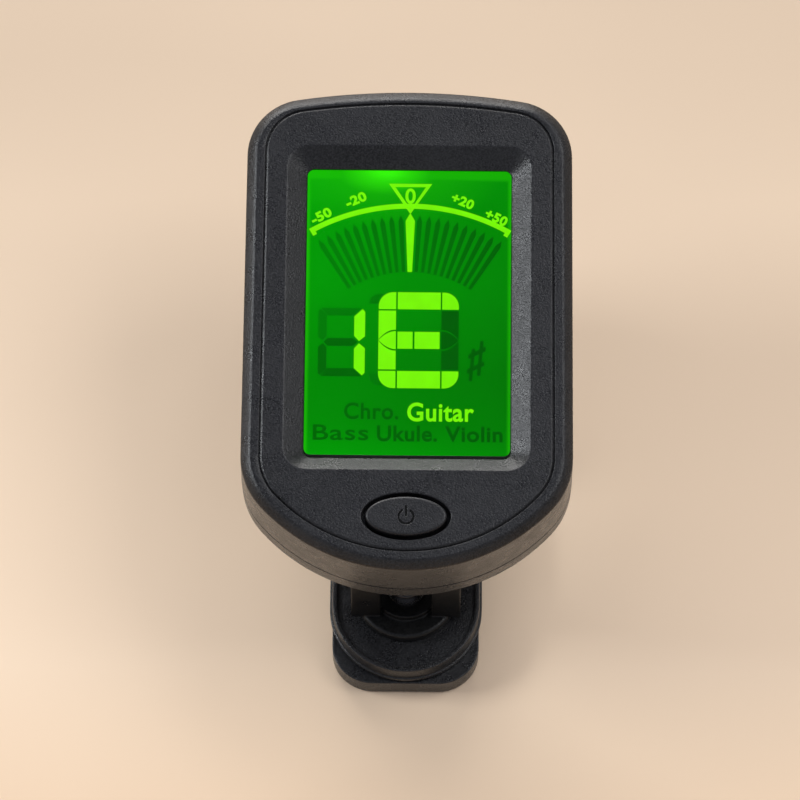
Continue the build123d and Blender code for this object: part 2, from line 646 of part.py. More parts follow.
# ================================================================ clip
# ---------------------------------------------------------------- upper jaw
grip_half, grip_thick = 8.0, 2.2
neck_y, grip_y = 18.0, 30.0  # where the jaw has narrowed to the cheeks, and where the grip widens again
floor_back_y = 14.0
roof_z = PIVOT_Z + 4.2
lip, draft, rim_wide = 0.2, 0.15, 0.5
pad_half, pad_front_y, pad_back_y, pad_round = 6.5, -8.6, 9.4, 4.0
pad_top_z, pad_foot_z = 4.0, 2.0
cheek_in = CHEEK_OUT - CHEEK_WALL
with BuildPart() as upper_jaw:
    # rear part: arch over the pivot and the rising finger grip
    with BuildSketch(Plane.YZ):
        with BuildLine():
            back_curve = Spline(
                [(floor_back_y, FLOOR_Z), (PIVOT_Y, roof_z), (TAIL_Y, TAIL_Z)],
                tangents=[(1, 0.25), (1, 0.3), (1, 0.22)],
            )
            Polyline(
                (TAIL_Y, TAIL_Z),
                (TAIL_Y, TAIL_Z - grip_thick),
                (PIVOT_Y + 4.2, PIVOT_Z + 0.6),
                (PIVOT_Y + 2.6, PIVOT_Z - 2.6),
                (PIVOT_Y - 3.2, PIVOT_Z - 3.4),
                (floor_back_y, UPPER_Z0 + 0.2),
                (floor_back_y, FLOOR_Z),
            )
        make_face()
    extrude(amount=JAW_HALF + 1, both=True)
    with BuildSketch(Plane.XY):
        with BuildLine():
            Polyline(
                (-JAW_HALF + lip, floor_back_y),
                (-JAW_HALF + lip, neck_y - 2.5),
                (-CHEEK_OUT, neck_y),
                (-CHEEK_OUT, grip_y - 1.5),
                (-grip_half, grip_y + 1.5),
                (-grip_half, TAIL_Y),
                (grip_half, TAIL_Y),
                (grip_half, grip_y + 1.5),
                (CHEEK_OUT, grip_y - 1.5),
                (CHEEK_OUT, neck_y),
                (JAW_HALF - lip, neck_y - 2.5),
                (JAW_HALF - lip, floor_back_y),
                close=True,
            )
        make_face()
    extrude(amount=30, mode=Mode.INTERSECT)
    fillet(upper_jaw.edges().filter_by(Axis.Z).group_by(Axis.Y)[-1], 3.5)
    # front part: lip, drafted wall and the floor inside a low rim
    with BuildSketch(Plane.XY.offset(UPPER_Z0)):
        add(u_outline(JAW_HALF, JAW_TIP_Y, floor_back_y + 1, JAW_HALF - 0.05))
    extrude(amount=LEDGE_Z - UPPER_Z0)
    with BuildSketch(Plane.XY.offset(LEDGE_Z)):
        add(u_outline(JAW_HALF - lip, JAW_TIP_Y + lip, floor_back_y + 1, JAW_HALF - lip - 0.05))
    with BuildSketch(Plane.XY.offset(RIM_Z)):
        drawn = lip + draft
        add(u_outline(JAW_HALF - drawn, JAW_TIP_Y + drawn, floor_back_y + 1, JAW_HALF - drawn - 0.05))
    loft()
    with BuildSketch(Plane.XY.offset(FLOOR_Z)):
        drawn = lip + draft + rim_wide
        add(u_outline(JAW_HALF - drawn, JAW_TIP_Y + drawn, floor_back_y, JAW_HALF - drawn - 0.05))
    extrude(amount=RIM_Z - FLOOR_Z, mode=Mode.SUBTRACT)
    # turning hub with its screw hole
    with BuildSketch(Plane.XY.offset(FLOOR_Z - 0.1)):
        Circle(HUB_R)
    extrude(amount=HUB_Z - FLOOR_Z + 0.1)
    with BuildSketch(Plane.XY.offset(UPPER_Z0)):
        Circle(SWIVEL_SCREW_R + 0.02)
    extrude(amount=HUB_Z - UPPER_Z0, mode=Mode.SUBTRACT)
    # recess of the rubber pad, and the hollow that takes the spring
    with BuildSketch(Plane.XY.offset(UPPER_Z0)):
        add(u_outline(pad_half, pad_front_y, pad_back_y, pad_round))
    extrude(amount=pad_top_z - UPPER_Z0, mode=Mode.SUBTRACT)
    with BuildSketch(Plane.YZ):
        with BuildLine():
            Polyline(
                (neck_y - 0.4, 0),
                (neck_y - 0.4, FLOOR_Z + 0.5),
                (PIVOT_Y - 2.6, PIVOT_Z + 1.3),
                (PIVOT_Y - 0.6, PIVOT_Z + 2.6),
                (PIVOT_Y + 2.0, PIVOT_Z + 3.1),
                (TAIL_Y - 5.5, TAIL_Z - 3.0),
                (TAIL_Y - 5.5, 0),
                close=True,
            )
        make_face()
    extrude(amount=cheek_in, both=True, mode=Mode.SUBTRACT)
    # pivot hole and grip ribs
    with BuildSketch(PIVOT):
        Circle(PIN_R + 0.05)
    extrude(amount=JAW_HALF, both=True, mode=Mode.SUBTRACT)
    with BuildSketch(Plane.YZ):
        with Locations(*[back_curve @ (0.76 + 0.042 * rib) for rib in range(5)]):
            Circle(0.4)
    extrude(amount=5.5, both=True)
upper_jaw.part.label = "upper_jaw"
export_step(upper_jaw.part, "parts/upper_jaw.step")

# ---------------------------------------------------------------- lower jaw
lower_cheek_in = CHEEK_OUT + 0.2
thin_y = 11.0
with BuildPart() as lower_jaw:
    with BuildSketch(Plane.XY):
        with Locations((0, (LOWER_TIP_Y + TAIL_Y) / 2)):
            Rectangle(2 * LOWER_HALF, TAIL_Y - LOWER_TIP_Y)
    extrude(amount=LOWER_PLATE)
    fillet(lower_jaw.edges().filter_by(Axis.Z).group_by(Axis.Y)[0], LOWER_ROUND)
    fillet(lower_jaw.edges().filter_by(Axis.Z).group_by(Axis.Y)[-1], 3.5)
    chamfer(lower_jaw.edges().group_by(Axis.Z)[0], 0.3)
    # the plate is thinner from behind the pad to the tail
    with BuildSketch(Plane.YZ):
        with BuildLine():
            Polyline(
                (thin_y, LOWER_PLATE + 1),
                (thin_y, LOWER_PLATE),
                (thin_y + 1, LOWER_TAIL),
                (TAIL_Y + 1, LOWER_TAIL),
                (TAIL_Y + 1, LOWER_PLATE + 1),
                close=True,
            )
        make_face()
    extrude(amount=LOWER_HALF + 1, both=True, mode=Mode.SUBTRACT)
    with BuildSketch(Plane.XY.offset(LOWER_PLATE)):
        add(u_outline(pad_half, pad_front_y, pad_back_y, pad_round))
    extrude(amount=pad_foot_z - LOWER_PLATE, mode=Mode.SUBTRACT)
    # cheeks that carry the pivot pin
    for start in (lower_cheek_in, -LOWER_HALF):
        with BuildSketch(PIVOT.offset(start)):
            Circle(PIVOT_R)
            with BuildLine():
                Polyline(
                    (-PIVOT_R, 0),
                    (-PIVOT_R - 1.0, 1.0 - PIVOT_Z),
                    (PIVOT_R + 1.0, 1.0 - PIVOT_Z),
                    (PIVOT_R, 0),
                    close=True,
                )
            make_face()
        extrude(amount=LOWER_HALF - lower_cheek_in)
    with BuildSketch(PIVOT):
        Circle(PIN_R + 0.01)
    extrude(amount=LOWER_HALF, both=True, mode=Mode.SUBTRACT)
    # seat of the spring leg
    with BuildSketch(Plane.XY.offset(LOWER_TAIL)):
        with Locations((0, TAIL_Y - 8.5)):
            Rectangle(7, 10)
    extrude(amount=-0.3, mode=Mode.SUBTRACT)
lower_jaw.part.label = "lower_jaw"
export_step(lower_jaw.part, "parts/lower_jaw.step")

# ---------------------------------------------------------------- rubber pads
pad_play, pad_ribs = 0.05, 10
with BuildPart() as lower_pad:
    with BuildSketch(Plane.XY.offset(pad_foot_z)):
        outline = u_outline(pad_half - pad_play, pad_front_y + pad_play, pad_back_y - pad_play, pad_round)
        add(outline)
    extrude(amount=PAD_SPLIT_Z - 0.05 - pad_foot_z)
    with BuildSketch(Plane.XY.offset(PAD_SPLIT_Z - 0.05)):
        with Locations((0, (pad_front_y + pad_back_y) / 2)):
            with GridLocations(0, 1.6, 1, pad_ribs):
                Rectangle(9, 0.6)
    extrude(amount=-0.35, mode=Mode.SUBTRACT)
lower_pad.part.label = "lower_pad"
export_step(lower_pad.part, "parts/lower_pad.step")

with BuildPart() as upper_pad:
    with BuildSketch(Plane.XY.offset(pad_top_z)):
        add(outline)
    extrude(amount=PAD_SPLIT_Z + 0.05 - pad_top_z)
    with BuildSketch(Plane.XY.offset(PAD_SPLIT_Z + 0.05)):
        with Locations((0, (pad_front_y + pad_back_y) / 2)):
            with GridLocations(0, 1.6, 1, pad_ribs):
                Rectangle(9, 0.6)
    extrude(amount=0.35, mode=Mode.SUBTRACT)
upper_pad.part.label = "upper_pad"
export_step(upper_pad.part, "parts/upper_pad.step")

# ---------------------------------------------------------------- pivot pin
with BuildPart() as clip_pin:
    with BuildSketch(PIVOT.offset(-LOWER_HALF + 0.1)):
        Circle(PIN_R)
    extrude(amount=2 * LOWER_HALF - 0.2)
    chamfer(clip_pin.edges().group_by(Axis.X)[0] + clip_pin.edges().group_by(Axis.X)[-1], 0.15)
clip_pin.part.label = "clip_pin"
export_step(clip_pin.part, "parts/clip_pin.step")

# ---------------------------------------------------------------- torsion spring round the pin
wire_r, coil_r, full_turns, coil_pitch = 0.4, 1.75, 4, 0.86
leg_y = TAIL_Y - 6.5
lower_leg = Vector(0, leg_y - PIVOT_Y, LOWER_TAIL - 0.3 + wire_r + 0.05 - PIVOT_Z)
upper_leg = Vector(0, leg_y - PIVOT_Y, TAIL_Z - 3.75 - PIVOT_Z)


def tangent_angle(leg_end, side):
    """Angle round the pin, from +Y, at which a straight leg to leg_end leaves the coil."""
    return degrees(atan2(leg_end.Z, leg_end.Y) + side * acos(coil_r / leg_end.length))


start_angle = tangent_angle(lower_leg, -1)
end_angle = tangent_angle(upper_leg, 1)
turns = full_turns + (360 + start_angle - end_angle) / 360
coil_long = turns * coil_pitch


def on_coil(angle, x):
    """Point on the coil's centre line, at an angle round the pin and a place along it."""
    return Vector(x, PIVOT_Y + coil_r * cos(radians(angle)), PIVOT_Z + coil_r * sin(radians(angle)))


coil_plane = Plane(
    origin=(coil_long / 2, PIVOT_Y, PIVOT_Z),
    x_dir=on_coil(start_angle, 0) - Vector(0, PIVOT_Y, PIVOT_Z),
    z_dir=(-1, 0, 0),
)
coil = Helix(coil_pitch, coil_long, coil_r).moved(coil_plane.location)
with BuildPart() as clip_spring:
    with BuildSketch(Plane(origin=coil @ 0, z_dir=coil % 0)):
        Circle(wire_r)
    sweep(path=coil, is_frenet=True)
    for angle, x, leg in ((start_angle, coil_long / 2, lower_leg), (end_angle, -coil_long / 2, upper_leg)):
        leave = on_coil(angle, x)
        foot = Vector(x, PIVOT_Y + leg.Y, PIVOT_Z + leg.Z)
        along = (foot - leave).normalized()
        with BuildSketch(Plane(origin=leave - along * 0.2, z_dir=along)):
            Circle(wire_r)
        extrude(amount=(foot - leave).length + 0.2)
clip_spring.part.label = "clip_spring"
export_step(clip_spring.part, "parts/clip_spring.step")
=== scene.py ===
import json
from math import acos, atan2, cos, pi, radians, sin, sqrt

import bmesh
import bpy
from mathutils import Matrix, Vector
from mathutils.geometry import tessellate_polygon


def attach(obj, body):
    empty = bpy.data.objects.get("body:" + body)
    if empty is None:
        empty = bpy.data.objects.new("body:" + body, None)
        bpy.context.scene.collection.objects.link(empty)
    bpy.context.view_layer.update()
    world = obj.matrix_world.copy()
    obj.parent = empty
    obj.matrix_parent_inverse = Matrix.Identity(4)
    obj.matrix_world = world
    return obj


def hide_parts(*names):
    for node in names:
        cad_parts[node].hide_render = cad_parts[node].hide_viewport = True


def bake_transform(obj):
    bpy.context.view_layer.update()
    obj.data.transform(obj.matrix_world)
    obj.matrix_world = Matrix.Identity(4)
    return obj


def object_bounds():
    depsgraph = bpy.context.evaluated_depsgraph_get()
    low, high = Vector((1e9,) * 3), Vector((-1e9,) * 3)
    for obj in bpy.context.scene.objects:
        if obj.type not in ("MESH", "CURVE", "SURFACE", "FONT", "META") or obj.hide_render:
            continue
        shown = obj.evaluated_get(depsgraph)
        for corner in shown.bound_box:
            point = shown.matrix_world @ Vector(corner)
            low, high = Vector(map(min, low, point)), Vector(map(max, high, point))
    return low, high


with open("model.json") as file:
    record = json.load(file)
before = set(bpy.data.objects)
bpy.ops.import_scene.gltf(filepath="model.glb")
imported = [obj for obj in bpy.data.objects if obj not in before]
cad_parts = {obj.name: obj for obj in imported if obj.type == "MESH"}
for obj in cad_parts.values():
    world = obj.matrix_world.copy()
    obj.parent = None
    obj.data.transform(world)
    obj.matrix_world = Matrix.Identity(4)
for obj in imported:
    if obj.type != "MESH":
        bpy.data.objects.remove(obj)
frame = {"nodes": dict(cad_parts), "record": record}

cad_box = [list(corner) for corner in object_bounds()]
MM = 0.001

# ------------------------------------------------------------------ directions and places from the frame
joints = {joint["name"]: joint for joint in frame["record"]["behaviour"]["joints"]}
UP = Vector(joints["door_slide"]["axis"]).normalized()  # towards the top of the display
OUT = -Vector(joints["button_press"]["axis"]).normalized()  # out of the display
RIGHT = UP.cross(OUT)
PIVOT = Vector(joints["clip_open"]["pos_m"])


def reach(node, direction):
    """How far a CAD node reaches along a direction: (lowest, highest), in metres."""
    along = [vertex.co.dot(direction) for vertex in frame["nodes"][node].data.vertices]
    return min(along), max(along)


def middle(node, direction):
    """Middle of a CAD node along a direction, in metres."""
    return sum(reach(node, direction)) / 2


FACE_OUT = reach("front_shell", OUT)[1]
DISPLAY_UP = middle("window_lens", UP)
DISPLAY_HALF_HIGH, DISPLAY_HALF_WIDE = 17.3, 11.75  # half the part of the display that shows, in mm


def on_face(x, y, depth=0.0):
    """Point of the head in mm: x across and y up from the display's middle, depth below the face."""
    return RIGHT * (x * MM) + UP * (DISPLAY_UP + y * MM) + OUT * (FACE_OUT - depth * MM)


# ------------------------------------------------------------------ camera
VIEW_ELEVATION, VIEW_AZIMUTH = radians(65), radians(0.6)
FOCAL = 6.25  # focal length over the picture's width
DISTANCE = 0.571  # metres
AIM = on_face(-0.83, -10.7)


def add_camera():
    """A long lens that looks down at the head from the front."""
    camera = bpy.data.cameras.new("camera")
    camera.sensor_width = 36
    camera.lens = camera.sensor_width * FOCAL
    camera.clip_start = 0.01
    rig = bpy.data.objects.new("camera", camera)
    bpy.context.scene.collection.objects.link(rig)
    level = Vector((-sin(VIEW_AZIMUTH), cos(VIEW_AZIMUTH), 0))
    ahead = level * cos(VIEW_ELEVATION) - Vector((0, 0, sin(VIEW_ELEVATION)))
    turn = ahead.to_track_quat("-Z", "Y").to_matrix().to_4x4()
    rig.matrix_world = Matrix.Translation(AIM - ahead * DISTANCE) @ turn
    bpy.context.scene.camera = rig


# ------------------------------------------------------------------ node helpers for materials
class Shader:
    """A material's node tree with short calls for the nodes used here."""

    def __init__(self, name):
        self.material = bpy.data.materials.new(name)
        self.material.use_nodes = True
        self.tree = self.material.node_tree
        self.surface = self.tree.nodes["Principled BSDF"]

    def node(self, kind, **values):
        """A new node with some of its settings given."""
        made = self.tree.nodes.new(kind)
        for key, value in values.items():
            setattr(made, key, value)
        return made

    def link(self, source, target):
        """Joins an output socket to an input socket."""
        self.tree.links.new(source, target)

    def place(self):
        """The shaded point in the row frame, in metres."""
        return self.node("ShaderNodeTexCoord").outputs["Object"]

    def noise(self, size_mm, detail=2.0, roughness=0.5, stretch=(1, 1, 1)):
        """Noise whose features are about size_mm across, in the row frame."""
        mapping = self.node("ShaderNodeMapping")
        mapping.inputs["Scale"].default_value = [1 / (size_mm * MM) * factor for factor in stretch]
        self.link(self.place(), mapping.inputs["Vector"])
        texture = self.node("ShaderNodeTexNoise")
        texture.inputs["Scale"].default_value = 1.0
        texture.inputs["Detail"].default_value = detail
        texture.inputs["Roughness"].default_value = roughness
        self.link(mapping.outputs["Vector"], texture.inputs["Vector"])
        return texture.outputs["Fac"]

    def ramp(self, value, stops):
        """Colour ramp; stops are (position, colour) with colour a grey or an (r, g, b)."""
        ramp = self.node("ShaderNodeValToRGB")
        elements = ramp.color_ramp.elements
        while len(elements) < len(stops):
            elements.new(0.5)
        for element, (position, colour) in zip(elements, stops):
            rgb = (colour,) * 3 if isinstance(colour, (int, float)) else colour
            element.position = position
            element.color = (*rgb, 1)
        self.link(value, ramp.inputs["Fac"])
        return ramp.outputs["Color"]

    def math(self, kind, a, b=None, c=None):
        """A number worked out from up to three numbers or sockets."""
        made = self.node("ShaderNodeMath", operation=kind)
        for socket, value in zip(made.inputs, (a, b, c)):
            if isinstance(value, (int, float)):
                socket.default_value = value
            elif value is not None:
                self.link(value, socket)
        return made.outputs[0]

    def bump(self, height, distance_mm, strength=1.0, below=None):
        """Normals tilted by a height, on top of the normals below."""
        made = self.node("ShaderNodeBump")
        made.inputs["Distance"].default_value = distance_mm * MM
        made.inputs["Strength"].default_value = strength
        self.link(height, made.inputs["Height"])
        if below is not None:
            self.link(below, made.inputs["Normal"])
        return made.outputs["Normal"]

    def rounded(self, radius_mm):
        """Normals that turn smoothly round the object's sharp edges."""
        made = self.node("ShaderNodeBevel", samples=6)
        made.inputs["Radius"].default_value = radius_mm * MM
        return made.outputs["Normal"]

    def mix(self, factor, low, high):
        """A colour between low and high, each a tuple or a socket."""
        made = self.node("ShaderNodeMix", data_type="RGBA")
        self.link(factor, made.inputs["Factor"])
        colour_a, colour_b, mixed = made.inputs[6], made.inputs[7], made.outputs[2]
        for socket, value in ((colour_a, low), (colour_b, high)):
            if isinstance(value, tuple):
                socket.default_value = (*value, 1)
            else:
                self.link(value, socket)
        return mixed

    def set(self, **values):
        """Sets shader sockets; spaces in socket names are written as underscores."""
        for key, value in values.items():
            socket = self.surface.inputs[key.replace("_", " ")]
            if isinstance(value, (int, float, tuple)):
                socket.default_value = value
            else:
                self.link(value, socket)


# ------------------------------------------------------------------ materials
def moulded_plastic(name, colour, deep, rough, gloss=0.36, edge_mm=0.12, speckle=1.0, grain_mm=0.2):
    """Moulded plastic with soft edges and a spark-eroded grain, whose tones are spread by speckle."""
    s = Shader(name)
    fine = s.noise(grain_mm, 2.0, 0.6)
    darker = tuple(c * (1 - 0.45 * speckle) for c in colour)
    paler = tuple(min(1.0, c + (0.9 * c + 0.003) * speckle) for c in colour)
    tone = s.mix(s.ramp(fine, [(0.36, 0.0), (0.66, 1.0)]), darker, paler)
    rubbed = s.math("MULTIPLY", s.ramp(s.noise(6.0, 3.0), [(0.35, 0.0), (0.7, 1.0)]), 0.35)
    tone = s.mix(rubbed, tone, paler)
    roughness = s.ramp(s.noise(2.2, 4.0), [(0.3, rough - 0.05), (0.7, rough + 0.07)])
    normal = s.bump(s.noise(14.0, 1.0), 0.03, 0.25, s.rounded(edge_mm))
    s.set(
        Base_Color=tone,
        Roughness=roughness,
        Normal=s.bump(fine, deep, 1.0, normal),
        Specular_IOR_Level=gloss,
    )
    return s.material


def metal(name, colour, rough):
    """Plated or drawn metal with fine scratches and slightly uneven gloss."""
    s = Shader(name)
    darker = tuple(c * 0.72 for c in colour)
    scratches = s.noise(0.12, 4.0, 0.6)
    s.set(
        Metallic=1.0,
        Base_Color=s.mix(s.noise(1.6, 3.0), darker, colour),
        Roughness=s.ramp(scratches, [(0.3, rough * 0.75), (0.7, rough * 1.35)]),
        Normal=s.bump(scratches, 0.006, 0.6),
    )
    return s.material


def rubber(name, colour):
    """Soft matte rubber with a powdery surface."""
    s = Shader(name)
    fine = s.noise(0.12, 3.0, 0.6)
    paler = tuple(c * 1.8 for c in colour)
    s.set(
        Base_Color=s.mix(s.ramp(s.noise(1.3, 4.0), [(0.35, 0.0), (0.7, 1.0)]), colour, paler),
        Roughness=s.ramp(fine, [(0.3, 0.72), (0.7, 0.92)]),
        Normal=s.bump(fine, 0.02),
        Sheen_Weight=0.1,
    )
    return s.material


def circuit_board():
    """Green solder mask with paler copper tracks under it."""
    s = Shader("solder_mask")
    pattern_mm, tracks_across, track_wide = 9, 4.0, 0.05
    mapping = s.node("ShaderNodeMapping")
    mapping.inputs["Scale"].default_value = (1 / (pattern_mm * MM),) * 3
    s.link(s.place(), mapping.inputs["Vector"])
    bricks = s.node("ShaderNodeTexBrick")
    bricks.inputs["Scale"].default_value = tracks_across
    bricks.inputs["Mortar Size"].default_value = track_wide
    s.link(mapping.outputs["Vector"], bricks.inputs["Vector"])
    tracks = bricks.outputs["Fac"]
    s.set(
        Base_Color=s.mix(tracks, (0.008, 0.075, 0.028), (0.02, 0.16, 0.06)),
        Roughness=s.ramp(s.noise(1.0), [(0.3, 0.28), (0.7, 0.4)]),
        Normal=s.bump(tracks, 0.03),
        Coat_Weight=0.4,
    )
    return s.material


def clear_plastic():
    """Clear window: its gloss alone is seen, with faint wipe marks in it."""
    s = Shader("clear_window")
    wiped = s.noise(0.5, 5.0, 0.6, (1, 0.08, 1))
    s.set(
        Base_Color=(0.0, 0.0, 0.0, 1),
        Roughness=s.ramp(wiped, [(0.4, 0.03), (0.8, 0.1)]),
        Alpha=0.035,
    )
    return s.material


def along_face(s, direction, middle_m):
    """A number that runs along a direction of the display: 0 in its middle, 1 half its height away."""
    dot = s.node("ShaderNodeVectorMath", operation="DOT_PRODUCT")
    s.link(s.place(), dot.inputs[0])
    dot.inputs[1].default_value = direction
    from_middle = s.math("SUBTRACT", dot.outputs["Value"], middle_m)
    return s.math("DIVIDE", from_middle, DISPLAY_HALF_HIGH * MM)


def lit_display():
    """The lit layer behind the segments: uneven green, with a bright spot under the lamp at the top."""
    s = Shader("lit_display")
    across, up = along_face(s, RIGHT, 0.0), along_face(s, UP, DISPLAY_UP)
    lamp_left, lamp_up, lamp_squash = 0.155, 1.02, 1.9
    spot_x = s.math("ADD", across, lamp_left)
    spot_y = s.math("MULTIPLY", s.math("SUBTRACT", up, lamp_up), lamp_squash)
    from_lamp = s.math("SQRT", s.math("ADD", s.math("POWER", spot_x, 2.0), s.math("POWER", spot_y, 2.0)))
    spot = s.ramp(from_lamp, [(0.06, 1.0), (0.16, 0.6), (0.34, 0.12), (0.8, 0.0)])
    sideways = s.ramp(s.math("MULTIPLY_ADD", across, 0.5, 0.5), [(0.12, 1.0), (0.5, 0.82), (0.88, 0.68)])
    heights = [(0.0, 0.5), (0.03, 0.36), (0.12, 0.29), (0.3, 0.27), (0.55, 0.34), (0.8, 0.37), (1.0, 0.42)]
    upward = s.ramp(s.math("MULTIPLY_ADD", up, 0.5, 0.5), heights)
    cloudy = s.ramp(s.noise(6.0, 3.0), [(0.3, 0.94), (0.7, 1.0)])
    level = s.math("MULTIPLY", s.math("MULTIPLY", sideways, upward), cloudy)
    base = s.mix(level, (0.0, 0.0, 0.0), (0.001, 1.0, 0.002))
    near_side = s.math("DIVIDE", s.math("ABSOLUTE", across), DISPLAY_HALF_WIDE / DISPLAY_HALF_HIGH)
    middle_low, end_reach = 0.015, 0.985
    near_end = s.math("DIVIDE", s.math("ABSOLUTE", s.math("ADD", up, middle_low)), end_reach)
    border = s.ramp(s.math("MAXIMUM", near_side, near_end), [(0.962, 0.0), (0.99, 0.22)])
    glow = s.mix(s.math("MAXIMUM", spot, border), base, (0.04, 1.0, 0.004))
    s.set(
        Base_Color=(0.0, 0.01, 0.0, 1),
        Roughness=s.ramp(s.noise(0.4), [(0.3, 0.25), (0.7, 0.35)]),
        Specular_IOR_Level=0.03,
        Emission_Color=glow,
        Emission_Strength=1.0,
    )
    return s.material


def segment_ink(name, left, right, strength):
    """A display segment, lit or unlit; its glow goes from a colour on the left to one on the right."""
    s = Shader(name)
    across = along_face(s, RIGHT, 0.0)
    sideways = s.ramp(s.math("MULTIPLY_ADD", across, 0.5, 0.5), [(0.15, left), (0.85, right)])
    shade = s.ramp(s.noise(2.0, 3.0), [(0.3, 0.92), (0.7, 1.0)])
    s.set(
        Base_Color=tuple(c * 0.05 for c in left) + (1,),
        Roughness=s.ramp(s.noise(0.3), [(0.3, 0.3), (0.7, 0.4)]),
        Specular_IOR_Level=0.03,
        Emission_Color=s.mix(shade, (0.0, 0.0, 0.0), sideways),
        Emission_Strength=strength,
    )
    return s.material


CHARCOAL = (0.0078, 0.0078, 0.0086)
SATIN_BLACK = (0.004, 0.004, 0.0041)
INK_BLACK = (0.0015, 0.0017, 0.0015)
materials = {
    "casing": moulded_plastic("casing_grain", CHARCOAL, deep=0.055, rough=0.28, gloss=0.34, speckle=1.6),
    "clip_plastic": moulded_plastic(
        "clip_grain", CHARCOAL, deep=0.055, rough=0.28, gloss=0.45, edge_mm=0.3, speckle=1.6
    ),
    "joint_plastic": moulded_plastic(
        "joint_satin", SATIN_BLACK, deep=0.008, rough=0.32, gloss=0.3, edge_mm=0.35, grain_mm=0.24
    ),
    "button_plastic": moulded_plastic("button_satin", CHARCOAL, deep=0.045, rough=0.32, speckle=1.4),
    "frame_plastic": moulded_plastic("frame_matte", (0.02, 0.02, 0.021), deep=0.01, rough=0.5),
    "switch": moulded_plastic("switch_body", (0.02, 0.02, 0.02), deep=0.006, rough=0.4),
    "plunger": moulded_plastic("nylon", (0.52, 0.49, 0.4), deep=0.004, rough=0.35),
    "epoxy": moulded_plastic("epoxy_dome", (0.006, 0.006, 0.006), deep=0.01, rough=0.2, grain_mm=0.8),
    "lead_red": moulded_plastic("lead_red", (0.42, 0.012, 0.01), deep=0.004, rough=0.35),
    "lead_black": moulded_plastic("lead_black", (0.012, 0.012, 0.012), deep=0.004, rough=0.35),
    "parts": moulded_plastic("chip_parts", (0.3, 0.22, 0.14), deep=0.006, rough=0.4),
    "sensor_white": moulded_plastic(
        "fired_ceramic", (0.68, 0.66, 0.6), deep=0.004, rough=0.6, grain_mm=0.1
    ),
    "contact_rubber": rubber("contact_rubber", (0.03, 0.03, 0.03)),
    "pad_rubber": rubber("pad_rubber", (0.014, 0.014, 0.014)),
    "steel": metal("nickel_plate", (0.62, 0.61, 0.59), rough=0.24),
    "black_steel": metal("blackened_steel", (0.06, 0.06, 0.065), rough=0.38),
    "spring_steel": metal("spring_wire", (0.42, 0.42, 0.43), rough=0.3),
    "contact_metal": metal("contact_strip", (0.78, 0.6, 0.3), rough=0.3),
    "sensor_brass": metal("sensor_brass", (0.72, 0.52, 0.22), rough=0.32),
    "board": circuit_board(),
    "mask_ink": moulded_plastic("mask_ink", INK_BLACK, deep=0.004, rough=0.45, gloss=0.15),
    "window": clear_plastic(),
    "display": lit_display(),
    "lit_segments": segment_ink("lit_segments", (0.205, 0.99, 0.003), (0.195, 0.97, 0.002), 1.0),
    "fan_segments": segment_ink("fan_segments", (0.0, 0.23, 0.001), (0.0, 0.11, 0.001), 1.0),
    "dark_segments": segment_ink("dark_segments", (0.0, 0.145, 0.001), (0.0, 0.1, 0.001), 1.0),
    "faint_segments": segment_ink("faint_segments", (0.0, 0.21, 0.001), (0.0, 0.16, 0.001), 1.0),
    "light_guide": segment_ink("lit_guide", (0.12, 0.8, 0.02), (0.12, 0.8, 0.02), 0.4),
    "led": segment_ink("lamp", (0.3, 1.0, 0.1), (0.3, 1.0, 0.1), 1.5),
}


def dress_cad():
    """Gives every CAD node its detailed material by its material slot."""
    for row in frame["record"]["subparts"]:
        node = frame["nodes"][row["node"]]
        for slot in node.material_slots:
            slot.material = materials[row["material_slot"]]


# ------------------------------------------------------------------ head: sizes in mm, in its face plane
HEAD_TOP, HEAD_BOTTOM = 26.75, -30.6
HEAD_HALF_TOP, HEAD_HALF_LOW = 18.95, 19.15
TOP_ARC, BOTTOM_ARC = 84.0, 22.8
TOP_CORNER, LOW_CORNER = 7.0, 9.0
FRONT_DEPTH, FACE_WALL, WALL = 9.7, 2.3, 1.5
DRAFT = 0.15  # how far the side wall leans in on its way up to the rim
RIM_DEPTH = 1.15
RIM_SIDE, RIM_TOP, RIM_BOTTOM = 2.25, 1.76, 2.15
SLOPE_SIDE, SLOPE_TOP, SLOPE_BOTTOM = 0.6, 0.84, 0.6  # share of the rim's width that slopes
GROOVE_WIDE, GROOVE_DEEP = 0.14, 0.3
EDGE = 0.07  # size of the small eased edges
BEVEL_WIDE, BEVEL_DEEP = 0.24, 0.14  # bevel of the face along the groove
WINDOW_WIDE, WINDOW_HIGH, WINDOW_CORNER = 23.7, 34.5, 0.9
BEZEL_WIDE, BEZEL_HIGH, BEZEL_CORNER, BEZEL_DEEP, BEZEL_Y = 28.25, 38.7, 2.6, 1.3, 0.44
POCKET_WIDE, POCKET_HIGH, POCKET_CORNER, POCKET_DEPTH = 25.92, 36.92, 1.2, 1.5
BUTTON_Y, BUTTON_WIDE, BUTTON_HIGH = -24.35, 10.15, 5.45
CHIN_STEPS, CORNER_STEPS, SIDE_STEPS, CROWN_STEPS = 22, 14, 8, 14  # points along each part of the outline


def arc(centre, radius, start, end, steps):
    """Points on an arc from angle start to angle end, without the last one."""
    turns = [start + (end - start) * step / steps for step in range(steps)]
    return [Vector((centre[0] + radius * cos(turn), centre[1] + radius * sin(turn))) for turn in turns]


